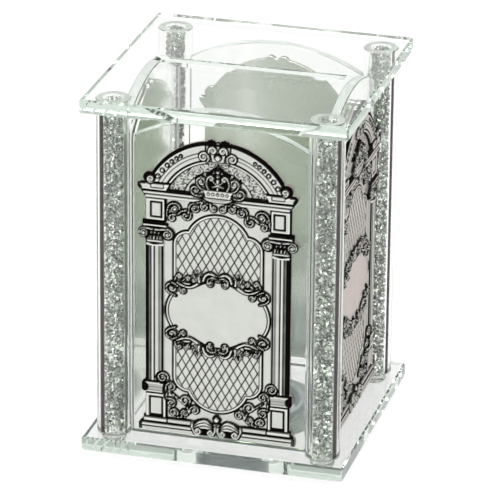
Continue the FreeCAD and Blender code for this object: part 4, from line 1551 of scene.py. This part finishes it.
@dataclass
class Feet:
    """Four clear stick-on feet under the corners."""

    radius: float = 4.5
    # Share of the radius and height of each step of the dome
    dome: tuple[Point, ...] = ((0.62, 0.0), (0.82, 0.14), (0.94, 0.5), (1.0, 1.1))
    crease: float = 50.0
    steps: int = 48

    def build(self) -> None:
        """Builds the four domed feet."""
        top = LEVELS.foot - LEVELS.seam
        steps = [(share * self.radius, height) for share, height in self.dome]
        profile = [(0, 0), *steps, (self.radius, top), (0, top)]
        for corner in Corner:
            name = corner.name.lower()
            centre = tuple(s * LEVELS.tube_axis for s in corner.value)
            piece = lathe(f"gel_foot_{name}", profile, centre, self.steps)
            smooth(piece, self.crease)
            dress(piece, FOOT_GEL, "foot_gel", "box", f"bumper_foot_{name}")


@dataclass(frozen=True)
class SoftBox:
    """A square soft lamp that faces the object, in millimetres and watts."""

    name: str
    place: tuple[float, float, float]
    size: float
    power: float
    mirrored: bool = True


@dataclass
class Studio:
    """A white sweep with soft light, and a long lens at the photograph's angle."""

    target: tuple[float, float, float] = (0.808, 0.0, 68.959)
    distance: float = 1549.77
    azimuth: float = 15.153
    elevation: float = 22.46
    roll: float = 0.544
    lens: float = 298.66
    sensor: float = 36.0
    clip: Span = (0.05, 50.0)
    white: str = "#FFFFFF"
    ambient: float = 0.75
    # Where the roof starts and ends, as the upward part of a ray, and its light at both
    roof_rise: Span = (0.2, 0.75)
    roof_light: Span = (1.0, 0.3)
    # The floor's board as it lights the box, and as it shows with the box's shadow on it
    board: str = "#E8E8E6"
    board_shade: str = "#6A6A6A"
    board_glow: float = 0.85
    floor_reach: float = 3000.0
    # The box overhead would lie as a white sheet on the top plate, so it isn't mirrored
    lamps: tuple[SoftBox, ...] = (
        SoftBox("top_soft_box", (-60, -40, 900), 800, 14.0, mirrored=False),
        SoftBox("key_soft_box", (-700, -900, 1100), 900, 4.5),
        SoftBox("fill_soft_box", (900, -500, 900), 700, 4.5),
    )
    # Light passes many walls of glass before it comes out
    bounces: int = 48
    mirror_bounces: int = 40
    diffuse_bounces: int = 10
    clear_bounces: int = 16

    def shown(self, tree: Tree) -> Socket:
        """Adds the test for rays that show the background.

        Args:
            tree: the tree to add it to.

        Returns:
            A socket that is 1 for camera, glossy and transmission rays.
        """
        path = add_node(tree, "ShaderNodeLightPath")
        some = add_node(tree, "ShaderNodeMath", {0: path["Is Camera Ray"], 1: path["Is Glossy Ray"]},
                        operation="ADD")[0]
        return add_node(tree, "ShaderNodeMath", {0: some, 1: path["Is Transmission Ray"]},
                        operation="ADD", use_clamp=True)[0]

    def world(self) -> None:
        """Lights the set from all round."""
        world = bpy.data.worlds.new("studio")
        bpy.context.scene.world = world
        world.use_nodes = True
        tree = world.node_tree
        tree.nodes.clear()
        white = linear(self.white)
        way = add_node(tree, "ShaderNodeSeparateXYZ", {0: add_node(tree, "ShaderNodeTexCoord")["Generated"]})
        # What polished faces mirror grows darker overhead, as under the roof of a studio.
        roof = add_node(tree, "ShaderNodeMapRange",
                        {"Value": way["Z"], "From Min": self.roof_rise[0], "From Max": self.roof_rise[1],
                         "To Min": self.roof_light[0], "To Max": self.roof_light[1]})["Result"]
        glossy = add_node(tree, "ShaderNodeLightPath")["Is Glossy Ray"]
        mirrored = add_node(tree, "ShaderNodeMix", {"Factor": glossy, "A": 1.0, "B": roof}, data_type="FLOAT")
        seen = add_node(tree, "ShaderNodeBackground", {"Color": white, "Strength": mirrored["Result"]})[0]
        light = add_node(tree, "ShaderNodeBackground", {"Color": white, "Strength": self.ambient})[0]
        both = add_node(tree, "ShaderNodeMixShader", {0: self.shown(tree), 1: light, 2: seen})[0]
        add_node(tree, "ShaderNodeOutputWorld", {"Surface": both})

    def floor(self) -> None:
        """Lays a white floor that keeps the object's shadow and lets the view through from below."""
        material = new_material("white_sweep_board")
        tree = material.node_tree
        plain = add_node(tree, "ShaderNodeBsdfDiffuse", {"Color": linear(self.board)})[0]
        soft = add_node(tree, "ShaderNodeBsdfDiffuse", {"Color": linear(self.board_shade)})[0]
        glow = add_node(tree, "ShaderNodeEmission",
                        {"Color": linear(self.white), "Strength": self.board_glow})[0]
        shadowed = add_node(tree, "ShaderNodeAddShader", {0: soft, 1: glow})[0]
        seen = add_node(tree, "ShaderNodeMixShader", {0: self.shown(tree), 1: plain, 2: shadowed})[0]
        clear = add_node(tree, "ShaderNodeBsdfTransparent")[0]
        under = add_node(tree, "ShaderNodeNewGeometry")["Backfacing"]
        both = add_node(tree, "ShaderNodeMixShader", {0: under, 1: seen, 2: clear})[0]
        add_node(tree, "ShaderNodeOutputMaterial", {"Surface": both})
        reach = self.floor_reach
        corners = [(-reach, -reach, 0), (reach, -reach, 0), (reach, reach, 0), (-reach, reach, 0)]
        floor = mesh_piece("floor", corners, [range(4)])
        floor.data.materials.append(material)

    def hang(self, box: SoftBox) -> None:
        """Hangs one soft box.

        Args:
            box: the soft box.
        """
        light = bpy.data.lights.new(box.name, "AREA")
        light.size = box.size * MM
        light.energy = box.power
        lamp = bpy.data.objects.new(box.name, light)
        spot = Vector(box.place) * MM
        lamp.location = spot
        lamp.rotation_euler = (Vector(self.target) * MM - spot).to_track_quat("-Z", "Y").to_euler()
        lamp.visible_glossy = box.mirrored
        bpy.context.scene.collection.objects.link(lamp)

    def camera(self) -> None:
        """Sets the camera at the photograph's viewing angle."""
        turn, tilt, roll = (math.radians(a) for a in (self.azimuth, self.elevation, self.roll))
        back = Vector((math.sin(turn) * math.cos(tilt), -math.cos(turn) * math.cos(tilt), math.sin(tilt)))
        right = Vector((math.cos(turn), math.sin(turn), 0))
        up = back.cross(right)
        leaned = (right * math.cos(roll) + up * math.sin(roll),
                  up * math.cos(roll) - right * math.sin(roll), back)
        lens = bpy.data.cameras.new("camera")
        lens.lens = self.lens
        lens.sensor_width = self.sensor
        lens.clip_start, lens.clip_end = self.clip
        camera = bpy.data.objects.new("camera", lens)
        place = Matrix([[a[k] for a in leaned] for k in range(3)]).to_4x4()
        place.translation = (Vector(self.target) + back * self.distance) * MM
        camera.matrix_world = place
        bpy.context.scene.collection.objects.link(camera)
        bpy.context.scene.camera = camera

    def build(self) -> None:
        """Sets up the camera, the floor and the light."""
        self.camera()
        self.world()
        self.floor()
        for box in self.lamps:
            self.hang(box)
        bpy.context.scene.view_settings.view_transform = "Standard"
        cycles = bpy.context.scene.cycles
        cycles.max_bounces = self.bounces
        cycles.transmission_bounces = self.bounces
        cycles.glossy_bounces = self.mirror_bounces
        cycles.diffuse_bounces = self.diffuse_bounces
        cycles.transparent_max_bounces = self.clear_bounces


def main() -> None:
    """Builds the object piece by piece, then the studio round it."""
    logging.basicConfig(level=logging.INFO, format="%(message)s")
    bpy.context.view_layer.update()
    for assembly in (Plates(), CornerTubes(), Panes(), Plaques(), Stopper(), Feet(), Studio()):
        assembly.build()


if __name__ == "__main__":
    main()
